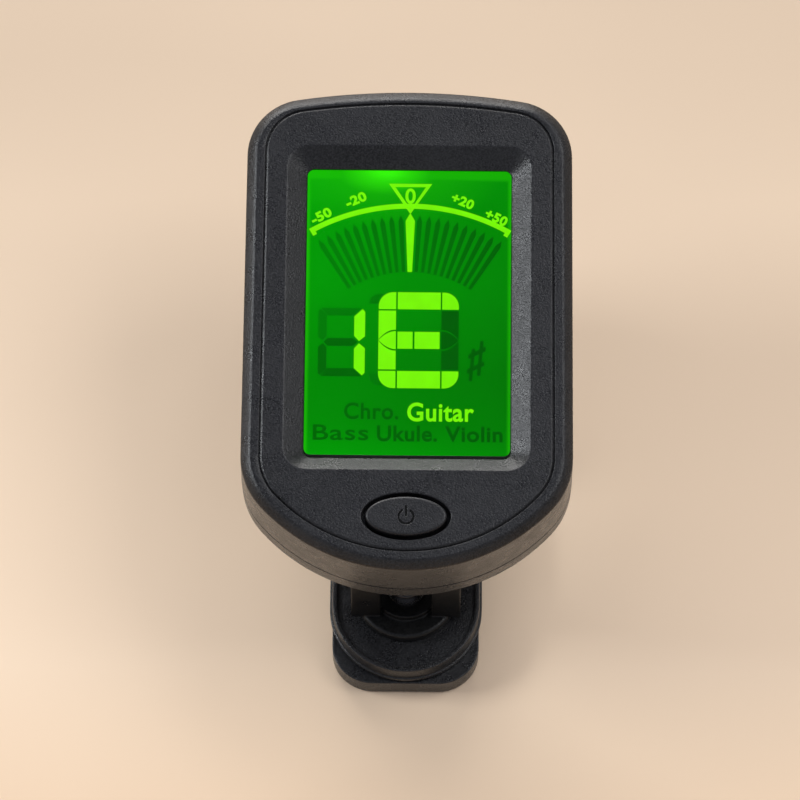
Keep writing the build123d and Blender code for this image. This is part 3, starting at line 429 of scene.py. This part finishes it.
def head_outline(side, top, bottom):
    """Points round the head's outline, drawn in by some amounts, from the middle of its bottom edge."""
    chin = BOTTOM_ARC - bottom
    chin_y, crown_y = HEAD_BOTTOM + BOTTOM_ARC, HEAD_TOP - top - TOP_ARC
    half_top, half_low = HEAD_HALF_TOP - side, HEAD_HALF_LOW - side
    hip = Vector((half_low, chin_y - sqrt(chin**2 - half_low**2)))
    shoulder = Vector((half_top, crown_y + sqrt(TOP_ARC**2 - half_top**2)))
    edge = (shoulder - hip).normalized()
    outward = Vector((edge.y, -edge.x))

    def corner_centre(radius, big_radius, centre_y, way):
        """Centre of a corner that touches the straight side and the large arc at its end."""
        start = hip - outward * radius - Vector((0, centre_y))
        middle_term = start.dot(edge)
        reach_term = start.length_squared - (big_radius - radius) ** 2
        along = way * sqrt(middle_term**2 - reach_term) - middle_term
        return start + edge * along + Vector((0, centre_y))

    low_round, top_round = LOW_CORNER - side, TOP_CORNER - (side + top) / 2
    low_centre = corner_centre(low_round, chin, chin_y, -1)
    top_centre = corner_centre(top_round, TOP_ARC, crown_y, 1)
    side_turn = atan2(outward.y, outward.x)
    low_turn = atan2(low_centre.y - chin_y, low_centre.x)
    top_turn = atan2(top_centre.y - crown_y, top_centre.x)
    half = arc((0, chin_y), chin, -pi / 2, low_turn, CHIN_STEPS)
    half += arc(low_centre, low_round, low_turn, side_turn, CORNER_STEPS)
    low_end, top_end = low_centre + outward * low_round, top_centre + outward * top_round
    half += [low_end.lerp(top_end, step / SIDE_STEPS) for step in range(SIDE_STEPS)]
    half += arc(top_centre, top_round, side_turn, top_turn, CORNER_STEPS)
    half += arc((0, crown_y), TOP_ARC, top_turn, pi / 2, CROWN_STEPS)
    half.append(Vector((0, HEAD_TOP - top)))
    return half + [Vector((-point.x, point.y)) for point in half[-2:0:-1]]


def rounded_box(wide, high, radius, y=0.0, steps=8):
    """Points round a rectangle with rounded corners, centred at height y."""
    points = []
    for quarter, sx, sy in ((0, 1, 1), (1, -1, 1), (2, -1, -1), (3, 1, -1)):
        centre = (sx * (wide / 2 - radius), y + sy * (high / 2 - radius))
        start, end = quarter * pi / 2, (quarter + 1) * pi / 2
        points += arc(centre, radius, start, end, steps)
        points.append(Vector(centre) + radius * Vector((cos(end), sin(end))))
    return points


def ellipse(half_wide, half_high, y, steps=72):
    """Points round an ellipse centred at height y."""
    turns = [2 * pi * step / steps for step in range(steps)]
    return [Vector((half_wide * cos(turn), y + half_high * sin(turn))) for turn in turns]


def add_band(mesh, low, high):
    """A closed band of faces between two rings of as many points."""
    for i in range(len(low)):
        j = (i + 1) % len(low)
        mesh.faces.new((low[i], low[j], high[j], high[i]))


class Shape:
    """A closed mesh of rings of points, in mm on the head's face, and of flat fills between rings."""

    def __init__(self):
        self.mesh = bmesh.new()
        self.crisp = []

    def ring(self, outline, depth):
        """New points along an outline at a depth below the face."""
        return [self.mesh.verts.new(on_face(point[0], point[1], depth)) for point in outline]

    def skin(self, section):
        """Rings for a list of outlines and depths, each joined to the next; gives the rings."""
        rings = [self.ring(outline, depth) for outline, depth in section]
        for low, high in zip(rings, rings[1:]):
            add_band(self.mesh, low, high)
        return rings

    def fill(self, outlines, rings):
        """Fills a flat region; the first ring is its outside, the others are holes."""
        corners = [vertex for ring in rings for vertex in ring]
        flat = [[Vector((point[0], point[1], 0)) for point in outline] for outline in outlines]
        for triangle in tessellate_polygon(flat):
            self.mesh.faces.new([corners[i] for i in triangle])
        self.crisp += rings

    def finish(self, name, material, body, replaced=(), smooth=True):
        """Makes the fills' borders crisp and turns the mesh into a piece."""
        for ring in self.crisp:
            for a, b in zip(ring, ring[1:] + ring[:1]):
                self.mesh.edges.get((a, b)).smooth = False
        bmesh.ops.recalc_face_normals(self.mesh, faces=self.mesh.faces)
        return add_piece(name, self.mesh, material, body, replaced, smooth)


def add_piece(name, shape, material, body, replaced=(), smooth=True):
    """Turns a bmesh into a shown piece, which may ride on a body and stand for CAD nodes."""
    for face in shape.faces:
        face.smooth = smooth
    mesh = bpy.data.meshes.new(name)
    shape.to_mesh(mesh)
    shape.free()
    mesh.materials.append(materials[material])
    piece = bpy.data.objects.new(name, mesh)
    bpy.context.scene.collection.objects.link(piece)
    if replaced:
        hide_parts(*replaced)
    if body is not None:
        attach(piece, body)
    return piece


def even_normals(piece):
    """Large faces keep their own direction, so that small eased edges alone are shaded round."""
    weighted = piece.modifiers.new("even_normals", "WEIGHTED_NORMAL")
    weighted.mode = "FACE_AREA"
    weighted.keep_sharp = True


# ------------------------------------------------------------------ front housing
def rim(share):
    """Insets at the side, top and bottom at a place on the rim's slope: 0 at the wall, 1 at the flat."""
    slopes = (RIM_SIDE * SLOPE_SIDE, RIM_TOP * SLOPE_TOP, RIM_BOTTOM * SLOPE_BOTTOM)
    return [DRAFT + (width - DRAFT) * share for width in slopes]


def rim_edge(inward):
    """Insets for a place beyond the rim's inner edge."""
    return [width + inward for width in (RIM_SIDE, RIM_TOP, RIM_BOTTOM)]


def wall_section():
    """Outlines and depths from inside the wall, round its back edge and over the rim, to the face."""
    section = [((WALL,) * 3, FACE_WALL), ((WALL,) * 3, FRONT_DEPTH)]
    section += [((EDGE,) * 3, FRONT_DEPTH), ((0,) * 3, FRONT_DEPTH - EDGE)]
    # places on the rim's slope: share of its width, share of its depth
    slope = [(0, 1.0), (0.015, 0.88), (0.05, 0.80), (0.12, 0.71), (0.44, 0.39)]
    slope += [(0.74, 0.125), (0.82, 0.078), (0.91, 0.036), (0.98, 0.006), (1.0, 0)]
    section += [(rim(share), RIM_DEPTH * depth) for share, depth in slope]
    section += [(rim_edge(-EDGE), 0), (rim_edge(-EDGE * 0.3), EDGE * 0.3), (rim_edge(0), EDGE)]
    section += [(rim_edge(0), GROOVE_DEEP), (rim_edge(GROOVE_WIDE), GROOVE_DEEP)]
    # places on the bevel along the groove, in the same way
    bevel = ((0, 1.25), (0.05, 0.93), (0.9, 0.07), (1.05, 0))
    section += [(rim_edge(GROOVE_WIDE + BEVEL_WIDE * run), BEVEL_DEEP * drop) for run, drop in bevel]
    return [(head_outline(*inset), depth) for inset, depth in section]


def window_section():
    """Outlines and depths from the face, down the sloping bezel and the window's pocket, to the inside."""
    start = (BEZEL_WIDE, BEZEL_HIGH, BEZEL_CORNER, BEZEL_Y)
    slide = (WINDOW_WIDE - BEZEL_WIDE, WINDOW_HIGH - BEZEL_HIGH, WINDOW_CORNER - BEZEL_CORNER, -BEZEL_Y)

    def bezel(share):
        """Outline of the bezel: 0 at the face, 1 at the window."""
        return rounded_box(*[low + step * share for low, step in zip(start, slide)])

    section = [(bezel(-0.04), 0), (bezel(-0.005), 0.01), (bezel(0.04), 0.05)]
    section += [(bezel(share), BEZEL_DEEP * share) for share in (0.5, 0.94)]
    section += [(bezel(0.985), BEZEL_DEEP * 0.985 + 0.01), (bezel(1.0), BEZEL_DEEP + 0.06)]
    section += [(bezel(1.0), POCKET_DEPTH)]
    pocket = rounded_box(POCKET_WIDE, POCKET_HIGH, POCKET_CORNER)
    return section + [(pocket, POCKET_DEPTH), (pocket, FACE_WALL)]


def hole_section():
    """Outlines and depths of the button's hole, from its rounded edge to the inside."""
    half_wide, half_high = BUTTON_WIDE / 2, BUTTON_HIGH / 2
    # places on the rounded edge and down the hole: how far out of the hole, how deep
    edge = [(0.16, 0.0), (0.1, 0.015), (0.03, 0.07), (0.0, 0.16), (0.0, FACE_WALL)]
    return [(ellipse(half_wide + out, half_high + out, BUTTON_Y), depth) for out, depth in edge]


def front_housing():
    """The front half of the casing, with its rim, groove, bezel, window and button hole."""
    s = Shape()
    wall, window, hole = wall_section(), window_section(), hole_section()
    wall_rings, window_rings, hole_rings = [s.skin(section) for section in (wall, window, hole)]
    s.fill([wall[-1][0], window[0][0], hole[0][0]], [wall_rings[-1], window_rings[0], hole_rings[0]])
    s.fill([wall[0][0], window[-1][0], hole[-1][0]], [wall_rings[0], window_rings[-1], hole_rings[-1]])
    even_normals(s.finish("front_housing", "casing", "head", ["front_shell"]))


# ------------------------------------------------------------------ power symbol
def power_symbol():
    """The black sign sunk into the button: an open ring and a bar through its gap."""
    proud, sunk = 0.35, 0.14  # the button's top stands proud of the face; the sign's groove is sunk in it
    lift, thick = 0.05, 0.06
    bar_low, bar_high = BUTTON_Y - 0.06, BUTTON_Y + 1.16
    half_stroke, ring_r, ring_drop, steps = 0.1, 0.835, 0.1, 40
    gap = radians(27)
    y = BUTTON_Y - ring_drop
    turns = [gap + (2 * pi - 2 * gap) * step / steps for step in range(steps + 1)]
    outer_r, inner_r = ring_r + half_stroke, ring_r - half_stroke
    outer = [(sin(turn) * outer_r, y + cos(turn) * outer_r) for turn in turns]
    inner = [(sin(turn) * inner_r, y + cos(turn) * inner_r) for turn in reversed(turns)]
    bar = box(-half_stroke, bar_low, half_stroke, bar_high)
    sign = [outer + inner, bar]
    top = -(proud - sunk + lift)
    plates("power_symbol", "mask_ink", sign, "power_button", top, top + thick)


# ------------------------------------------------------------------ display: what the glass shows
INK_TOP, INK_LOW = 2.33, 2.39  # depths of the thin layer that holds the graphics
DIAL_X = 0.13
LIT, UNLIT, FAINT, FAN = "lit_segments", "dark_segments", "faint_segments", "fan_segments"


def plates(name, material, outlines, body="head", top=INK_TOP, low=INK_LOW):
    """Thin closed plates, one for each outline, between two depths below the face."""
    ink = bmesh.new()
    for outline in outlines:
        under, over = [[ink.verts.new(on_face(x, y, depth)) for x, y in outline] for depth in (low, top)]
        ink.faces.new(under)
        ink.faces.new(over)
        add_band(ink, under, over)
    bmesh.ops.recalc_face_normals(ink, faces=ink.faces)
    add_piece(name, ink, material, body, smooth=False)


def lettering(name, text, material, left, right, base, high, turn=0.0, bold=0.0):
    """A word of thin closed letters between left and right, standing on base, turned about its middle."""
    curve = bpy.data.curves.new(name, "FONT")
    curve.body = text
    curve.offset = bold
    curve.space_character = 1.06
    curve.extrude = 0.5
    curve.resolution_u = 5
    word = bpy.data.objects.new(name, curve)
    bpy.context.scene.collection.objects.link(word)
    bpy.context.view_layer.update()
    solid = word.evaluated_get(bpy.context.evaluated_depsgraph_get())
    letters = bmesh.new()
    letters.from_mesh(bpy.data.meshes.new_from_object(solid))
    bpy.data.objects.remove(word)
    bmesh.ops.remove_doubles(letters, verts=letters.verts, dist=1e-5)
    spans = [[min(v.co[k] for v in letters.verts), max(v.co[k] for v in letters.verts)] for k in range(2)]
    middle_x, middle_y = (left + right) / 2, base + high / 2
    for vertex in letters.verts:
        across = ((vertex.co.x - spans[0][0]) / (spans[0][1] - spans[0][0]) - 0.5) * (right - left)
        up = ((vertex.co.y - spans[1][0]) / (spans[1][1] - spans[1][0]) - 0.5) * high
        x = middle_x + across * cos(turn) - up * sin(turn)
        y = middle_y + across * sin(turn) + up * cos(turn)
        vertex.co = on_face(x, y, INK_TOP if vertex.co.z > 0 else INK_LOW)
    bmesh.ops.recalc_face_normals(letters, faces=letters.faces)
    add_piece(name, letters, material, "head", smooth=False)


def on_arc(centre_y, radius, turn):
    """Point at an angle from straight up, round a centre on the dial's middle line."""
    return DIAL_X + radius * sin(turn), centre_y + radius * cos(turn)


def dial_scale():
    """The curved line under the numbers, with a short tick at each end."""
    centre_y, radius, half, steps = -9.7, 22.9, 0.3, 24
    end, tick_wide, tick_long = radians(30.3), radians(1.3), 0.36
    turns = [end * (step / steps - 1) for step in range(2 * steps + 1)]
    band = [on_arc(centre_y, radius + half, turn) for turn in turns]
    tick_r, tick_turn = radius - half - tick_long, end - tick_wide
    band += [on_arc(centre_y, tick_r, end), on_arc(centre_y, tick_r, tick_turn)]
    between_ticks = [tick_turn] + turns[-3:2:-1] + [-tick_turn]
    band += [on_arc(centre_y, radius - half, turn) for turn in between_ticks]
    band += [on_arc(centre_y, tick_r, -tick_turn), on_arc(centre_y, tick_r, -end)]
    plates("dial_scale", LIT, [band])


def dial_mark():
    """The hollow triangle that points down at the middle of the scale."""
    top, apex, wide, stroke = 15.9, 12.25, 2.5, 0.38
    inner = stroke * 1.9
    tip = (0.06, apex + 0.55)
    marks = [
        [(-wide, top), (wide, top), (wide - inner, top - stroke), (inner - wide, top - stroke)],
        [(-wide, top), (inner - wide, top - stroke), tip, (0.0, apex)],
        [(wide, top), (0.0, apex), tip, (wide - inner, top - stroke)],
    ]
    plates("dial_mark", LIT, [[(DIAL_X + x, y) for x, y in mark] for mark in marks])


def dial_numbers():
    """Zero in the triangle, and two numbers on each side that lean with the scale."""
    lettering("dial_zero", "0", LIT, DIAL_X - 0.6, DIAL_X + 0.6, 13.5, 1.85, bold=0.02)
    half_high = 0.6
    for name, text, x, y, half_wide, turn in (
        ("dial_minus50", "-50", -10.2, 11.95, 1.25, 28),
        ("dial_minus20", "-20", -6.2, 13.95, 1.25, 24),
        ("dial_plus20", "+20", 6.2, 13.85, 1.35, -23),
        ("dial_plus50", "+50", 10.1, 11.9, 1.35, -26),
    ):
        base, high = y - half_high, 2 * half_high
        lettering(name, text, LIT, x - half_wide, x + half_wide, base, high, radians(turn), 0.04)


def pointer(tip, shoulder, foot, wide, narrow):
    """An upright bar with a pointed top; wide and narrow are half widths at its shoulder and foot."""
    return [(0, tip), (wide, shoulder), (narrow, foot), (-narrow, foot), (-wide, shoulder)]


def needle_and_bars():
    """The lit needle, and a fan of bars on each side of it."""
    fan_y, long_r, short_r, bars_a_side, spread = -7.6, 19.75, 12.85, 10, radians(3.25)
    needle = pointer(long_r + 0.2, long_r - 0.75, short_r, 0.54, 0.26)
    plates("needle", LIT, [[(DIAL_X + x, fan_y + y) for x, y in needle]])
    bar = pointer(long_r, long_r - 0.8, short_r, 0.31, 0.2)

    def turned(x, y, turn):
        """A point of a bar, turned clockwise round the fan's centre."""
        return DIAL_X + x * cos(turn) + y * sin(turn), fan_y - x * sin(turn) + y * cos(turn)

    bars = []
    for step in range(1, bars_a_side + 1):
        for side in (-1, 1):
            bars.append([turned(x, y, side * spread * step) for x, y in bar])
    plates("dial_bars", FAN, bars)


def box(left, low, right, high):
    """Corners of a rectangle."""
    return [(left, low), (right, low), (right, high), (left, high)]


def corner_block(left, low, right, high, sx, sy, radius):
    """A box whose corner on the (sx, sy) side is rounded."""
    x = right - radius if sx > 0 else left + radius
    y = high - radius if sy > 0 else low + radius
    quarter = {(1, 1): 0, (-1, 1): 1, (-1, -1): 2, (1, -1): 3}[(sx, sy)]
    start, end, steps = quarter * pi / 2, (quarter + 1) * pi / 2, 10
    round_end = [tuple(point) for point in arc((x, y), radius, start, end, steps)]
    round_end.append((x + radius * cos(end), y + radius * sin(end)))
    square = [(right, high), (left, high), (left, low), (right, low)]
    return round_end + [square[(quarter + step) % 4] for step in (1, 2, 3)]


def note_letter():
    """The large note letter: a block letter of a column, three bars and rounded corners."""
    left, right, low, high = -3.4, 5.83, -8.65, 2.8
    column, bar, gap = 2.0, 2.03, 0.19
    inner_l, inner_r = left + column, right - column
    mid_low, mid_high = -3.95, -1.93
    middle_y = (mid_low + mid_high) / 2
    radius, inset = 1.7, 0.08
    short_bar, long_bar = 1.93, 2.15  # ends of the middle bar's short part and long part, from the column

    half_lens, steps = (mid_high - mid_low) / 2 + 0.06, 10

    def lens_edge(side, way, gap):
        """Points on the pointed lens, or on a line round it at a gap, from its root to its tip."""
        root = inner_l if side < 0 else inner_r
        points = []
        for step in range(steps + 1):
            share = step / steps
            rise = (half_lens + gap) * (1 - share**2) + gap * 0.5 * share
            points.append((root + side * column * share, middle_y + way * rise))
        return points

    def lens(side):
        """The pointed lens in the column on one side."""
        return lens_edge(side, 1, 0) + lens_edge(side, -1, 0)[-2::-1]

    def beside_lens(side, way):
        """The part of a column between the lens and the corner block above (1) or below (-1) it."""
        outer, root = (left, inner_l) if side < 0 else (right, inner_r)
        end = high - bar - gap if way > 0 else low + bar + gap
        return lens_edge(side, way, gap) + [(outer, end), (root, end)]

    blocks = [
        corner_block(left, high - bar, inner_l, high, -1, 1, radius),
        corner_block(left, low, inner_l, low + bar, -1, -1, radius),
        corner_block(inner_r + inset, high - bar, right, high, 1, 1, radius),
        corner_block(inner_r + inset, low, right, low + bar, 1, -1, radius),
        box(inner_l + gap, high - bar, inner_r - gap / 2, high),
        box(inner_l + gap, low, inner_r - gap / 2, low + bar),
        box(inner_l + gap, mid_low, inner_l + short_bar, mid_high),
        box(inner_l + long_bar, mid_low, inner_r - gap, mid_high),
        lens(-1),
        beside_lens(-1, 1),
        beside_lens(-1, -1),
    ]
    plates("note_letter", LIT, blocks)
    unlit = [lens(1), beside_lens(1, 1), beside_lens(1, -1)]
    plates("note_unlit", UNLIT, unlit)
    slivers = [
        [(-4.5, 1.4), (-3.5, 1.4), (-3.35, 2.0), (-2.75, 2.62), (-3.7, 2.55), (-4.35, 2.1)],
        [(-4.55, -6.95), (-3.5, -6.95), (-3.35, -7.7), (-2.8, -8.4), (-3.7, -8.3), (-4.3, -7.8)],
    ]
    plates("note_corners", FAINT, slivers)


def string_digit():
    """The small seven-segment digit: its two right segments are lit and read 1."""
    left, right, low, high = -10.35, -4.95, -7.3, 0.85
    thick, gap, lit_thick = 1.0, 0.14, 1.25
    middle_y = (low + high) / 2

    def upright(x_out, x_in, y_end, way):
        """A side segment between the middle and one end, with bevelled ends."""
        outward = 1 if x_out > x_in else -1
        wide = abs(x_out - x_in)
        near = middle_y + way * gap
        return [
            (x_out, near + way * wide * 0.45),
            (x_out - outward * wide * 0.55, near),
            (x_in, near + way * wide * 0.5),
            (x_in, y_end - way * wide * 0.8),
            (x_out - outward * wide * 0.25, y_end - way * 0.12),
            (x_out, y_end - way * wide * 0.35),
        ]

    lit = [upright(right, right - lit_thick, end, way) for end, way in ((high, 1), (low, -1))]
    plates("digit_lit", LIT, lit)
    plates("digit_upper_left", FAINT, [upright(left, left + thick, high, 1)])
    bar_left, bar_right, half_bar = left + thick + 0.1, right - 1.35, 0.47
    top_bar = [(left + 0.3, high), (right - 0.4, high), (bar_right, high - 0.9), (bar_left, high - 0.9)]
    plates("digit_top", FAINT, [top_bar])
    dark = [
        upright(left, left + thick, low, -1),
        [(left + 0.3, low), (bar_left, low + 0.95), (bar_right, low + 0.95), (right - 0.4, low)],
        [
            (left + 0.65, middle_y),
            (bar_left, middle_y + half_bar),
            (right - 1.4, middle_y + half_bar),
            (right - 0.85, middle_y),
            (right - 1.4, middle_y - half_bar),
            (bar_left, middle_y - half_bar),
        ],
    ]
    plates("digit_dark", UNLIT, dark)


def sharp_sign():
    """Music's sharp sign: two upright strokes that lean, and two thick rising bars."""
    plates("sharp_sign", UNLIT, [
        [(7.0, -7.75), (7.4, -7.75), (7.75, -3.9), (7.35, -3.9)],
        [(7.95, -7.1), (8.35, -7.1), (8.72, -2.95), (8.32, -2.95)],
        [(6.95, -5.15), (8.95, -4.15), (8.95, -3.62), (6.95, -4.62)],
        [(6.8, -6.9), (8.8, -5.9), (8.8, -5.37), (6.8, -6.37)],
    ])


def mask():
    """The black border printed round the part of the glass that shows."""
    top, low, side, corner = 17.5, -16.62, 11.82, 0.75
    outer_wide, outer_high, outer_corner = 25.4, 36.4, 1.2
    outer = rounded_box(outer_wide, outer_high, outer_corner)
    inner = rounded_box(2 * side, top - low, corner, (top + low) / 2)
    border = Shape()
    rings = border.skin([(outer, INK_LOW), (outer, INK_TOP), (inner, INK_TOP), (inner, INK_LOW)])
    add_band(border.mesh, rings[-1], rings[0])
    border.finish("display_mask", "mask_ink", "head", smooth=False)


def display_graphics():
    """All that the glass shows, as thin closed plates in one layer."""
    mask()
    dial_scale()
    dial_mark()
    dial_numbers()
    needle_and_bars()
    note_letter()
    string_digit()
    sharp_sign()
    lettering("mode_chromatic", "Chro.", UNLIT, -7.25, -1.0, -12.4, 2.0, bold=0.02)
    lettering("mode_guitar", "Guitar", LIT, 0.0, 7.65, -12.6, 2.25, bold=0.022)
    lettering("mode_bass", "Bass", UNLIT, -10.8, -4.4, -14.9, 1.85, bold=0.012)
    lettering("mode_ukulele", "Ukule.", UNLIT, -3.45, 3.45, -15.0, 1.9, bold=0.025)
    lettering("mode_violin", "Violin", UNLIT, 4.35, 10.95, -15.0, 1.85, bold=0.025)


# ------------------------------------------------------------------ spring
def coil_spring():
    """Line of the torsion spring's wire in mm from the pin: a coil, with a straight leg at each end."""
    wire_r, coil_r, full_turns, pitch = 0.4, 1.75, 4, 0.86
    leg_ends = [Vector((0, 14.5, -5.65)), Vector((0, 14.5, 4.85))]  # on the lower and on the upper jaw
    sides = (-1, 1)
    leave = [atan2(end.z, end.y) + side * acos(coil_r / end.length) for end, side in zip(leg_ends, sides)]
    sweep = 2 * pi * (full_turns + 1) + leave[0] - leave[1]
    half_long = sweep / (2 * pi) * pitch / 2

    steps, leg_steps = 150, 6
    line = []
    for step in range(steps + 1):
        turn = leave[0] - sweep * step / steps
        x = half_long - 2 * half_long * step / steps
        line.append(Vector((x, coil_r * cos(turn), coil_r * sin(turn))))
    leg = [leg_ends[0] + Vector((half_long, 0, 0)), leg_ends[1] - Vector((half_long, 0, 0))]
    line = [leg[0].lerp(line[0], step / leg_steps) for step in range(leg_steps)] + line
    line += [line[-1].lerp(leg[1], step / leg_steps) for step in range(1, leg_steps + 1)]
    return line, wire_r, half_long


def wire(line, radius, sides=14):
    """A closed wire with softened ends along a line of points, in metres."""
    shape = bmesh.new()
    ease = 0.25  # share of the radius taken off at each end
    last = len(line) - 1
    ahead = [(line[min(i + 1, last)] - line[max(i - 1, 0)]).normalized() for i in range(len(line))]
    across = ahead[0].orthogonal().normalized()
    rings = []
    for i, (point, along) in enumerate(zip(line, ahead)):
        across = (across - along * across.dot(along)).normalized()
        other = along.cross(across)
        spots = [(point, radius)]
        end = along * radius * ease
        if i == 0:
            spots = [(point, radius * (1 - ease)), (point + end, radius)]
        if i == last:
            spots = [(point - end, radius), (point, radius * (1 - ease))]
        for centre, size in spots:
            turns = [2 * pi * step / sides for step in range(sides)]
            spokes = [across * cos(turn) + other * sin(turn) for turn in turns]
            rings.append([shape.verts.new(centre + spoke * size) for spoke in spokes])
    for low, high in zip(rings, rings[1:]):
        add_band(shape, low, high)
    shape.faces.new(rings[0])
    shape.faces.new(rings[-1])
    bmesh.ops.recalc_face_normals(shape, faces=shape.faces)
    return shape


def clip_spring():
    """The spring from the lower jaw to the upper one, as a fixed coil of wire; on the real clip it winds
    as the clip opens.
    """
    line, wire_r, half_long = coil_spring()
    shape = wire([PIVOT + point * MM for point in line], wire_r * MM)
    piece = add_piece("spring_wire", shape, "spring_steel", None, ["clip_spring"])
    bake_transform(piece)


# ------------------------------------------------------------------ floor and lights
LAMP_TARGET = Vector((0, 0.01, 0.03))  # metres


def add_floor():
    """A plain pale floor with painted shade: palest in the middle, darker and warmest at the front, and
    darker at the back.
    """
    s = Shader("floor_with_painted_shade")
    grain = s.noise(45.0, 2.0, 0.4, (0.5, 1, 1))
    parts = s.node("ShaderNodeSeparateXYZ")
    s.link(s.place(), parts.inputs["Vector"])
    towards_back = s.math("MULTIPLY_ADD", parts.outputs["Y"], 4.0, 0.5)
    # painted shade: the front and back colours are darker than the centre
    front, centre, back = (0.62, 0.41, 0.24), (0.77, 0.60, 0.44), (0.57, 0.44, 0.32)
    colour = s.ramp(towards_back, [(0.27, front), (0.47, centre), (0.8, back)])
    s.set(
        Base_Color=s.mix(s.ramp(grain, [(0.3, 0.0), (0.7, 0.3)]), colour, centre),
        Roughness=s.ramp(grain, [(0.3, 0.62), (0.7, 0.7)]),
        Specular_IOR_Level=0.12,
    )
    mesh = bpy.data.meshes.new("floor")
    half, below = 1.5, 0.00002  # metres; the floor lies just under the part, so that no two faces meet
    corners = [(-half, -half, 0), (half, -half, 0), (half, half, 0), (-half, half, 0)]
    mesh.from_pydata(corners, [], [(0, 1, 2, 3)])
    mesh.materials.append(s.material)
    floor = bpy.data.objects.new("floor", mesh)
    floor.location.z = cad_box[0][2] - below
    bpy.context.scene.collection.objects.link(floor)


def add_area_light(name, place, size, power, colour=(1, 1, 1)):
    """A rectangular lamp at a place in metres, turned to the part."""
    data = bpy.data.lights.new(name, "AREA")
    data.shape = "RECTANGLE"
    data.size, data.size_y = size
    data.energy = power
    data.color = colour
    lamp = bpy.data.objects.new(name, data)
    ahead = (LAMP_TARGET - Vector(place)).normalized()
    lamp.matrix_world = Matrix.Translation(place) @ ahead.to_track_quat("-Z", "Y").to_matrix().to_4x4()
    bpy.context.scene.collection.objects.link(lamp)


def add_sky():
    """Soft light from all round, warm near the horizon and cool above."""
    world = bpy.data.worlds.new("studio")
    bpy.context.scene.world = world
    world.use_nodes = True
    tree = world.node_tree
    place = tree.nodes.new("ShaderNodeTexCoord")
    height = tree.nodes.new("ShaderNodeSeparateXYZ")
    sky = tree.nodes.new("ShaderNodeValToRGB")
    tree.links.new(place.outputs["Generated"], height.inputs["Vector"])
    tree.links.new(height.outputs["Z"], sky.inputs["Fac"])
    tree.links.new(sky.outputs["Color"], tree.nodes["Background"].inputs["Color"])
    sky.color_ramp.elements[0].position = 0.1
    sky.color_ramp.elements[0].color = (0.52, 0.50, 0.48, 1)
    sky.color_ramp.elements[1].position = 0.9
    sky.color_ramp.elements[1].color = (0.26, 0.28, 0.35, 1)
    tree.nodes["Background"].inputs["Strength"].default_value = 1.0


def add_lights():
    """A wide window behind, a lamp on each side and a small one above."""
    warm, cool, colder = (1.0, 0.98, 0.96), (0.95, 0.97, 1.0), (0.93, 0.97, 1.0)
    add_area_light("window_back", place=(-0.4, 2.1, 0.95), size=(2.2, 1.2), power=57.0, colour=warm)
    add_area_light("soft_left", place=(-2.0, 0.25, 1.3), size=(0.9, 0.45), power=31.0, colour=colder)
    add_area_light("soft_right", place=(1.45, 0.3, 2.3), size=(1.4, 1.2), power=25.0)
    add_area_light("small_above", place=(0.5, 1.1, 2.3), size=(0.5, 0.5), power=4.0, colour=cool)


bpy.context.scene.view_settings.view_transform = "Standard"
add_camera()
add_floor()
add_sky()
add_lights()
dress_cad()
front_housing()
power_symbol()
display_graphics()
clip_spring()

bpy.context.view_layer.update()
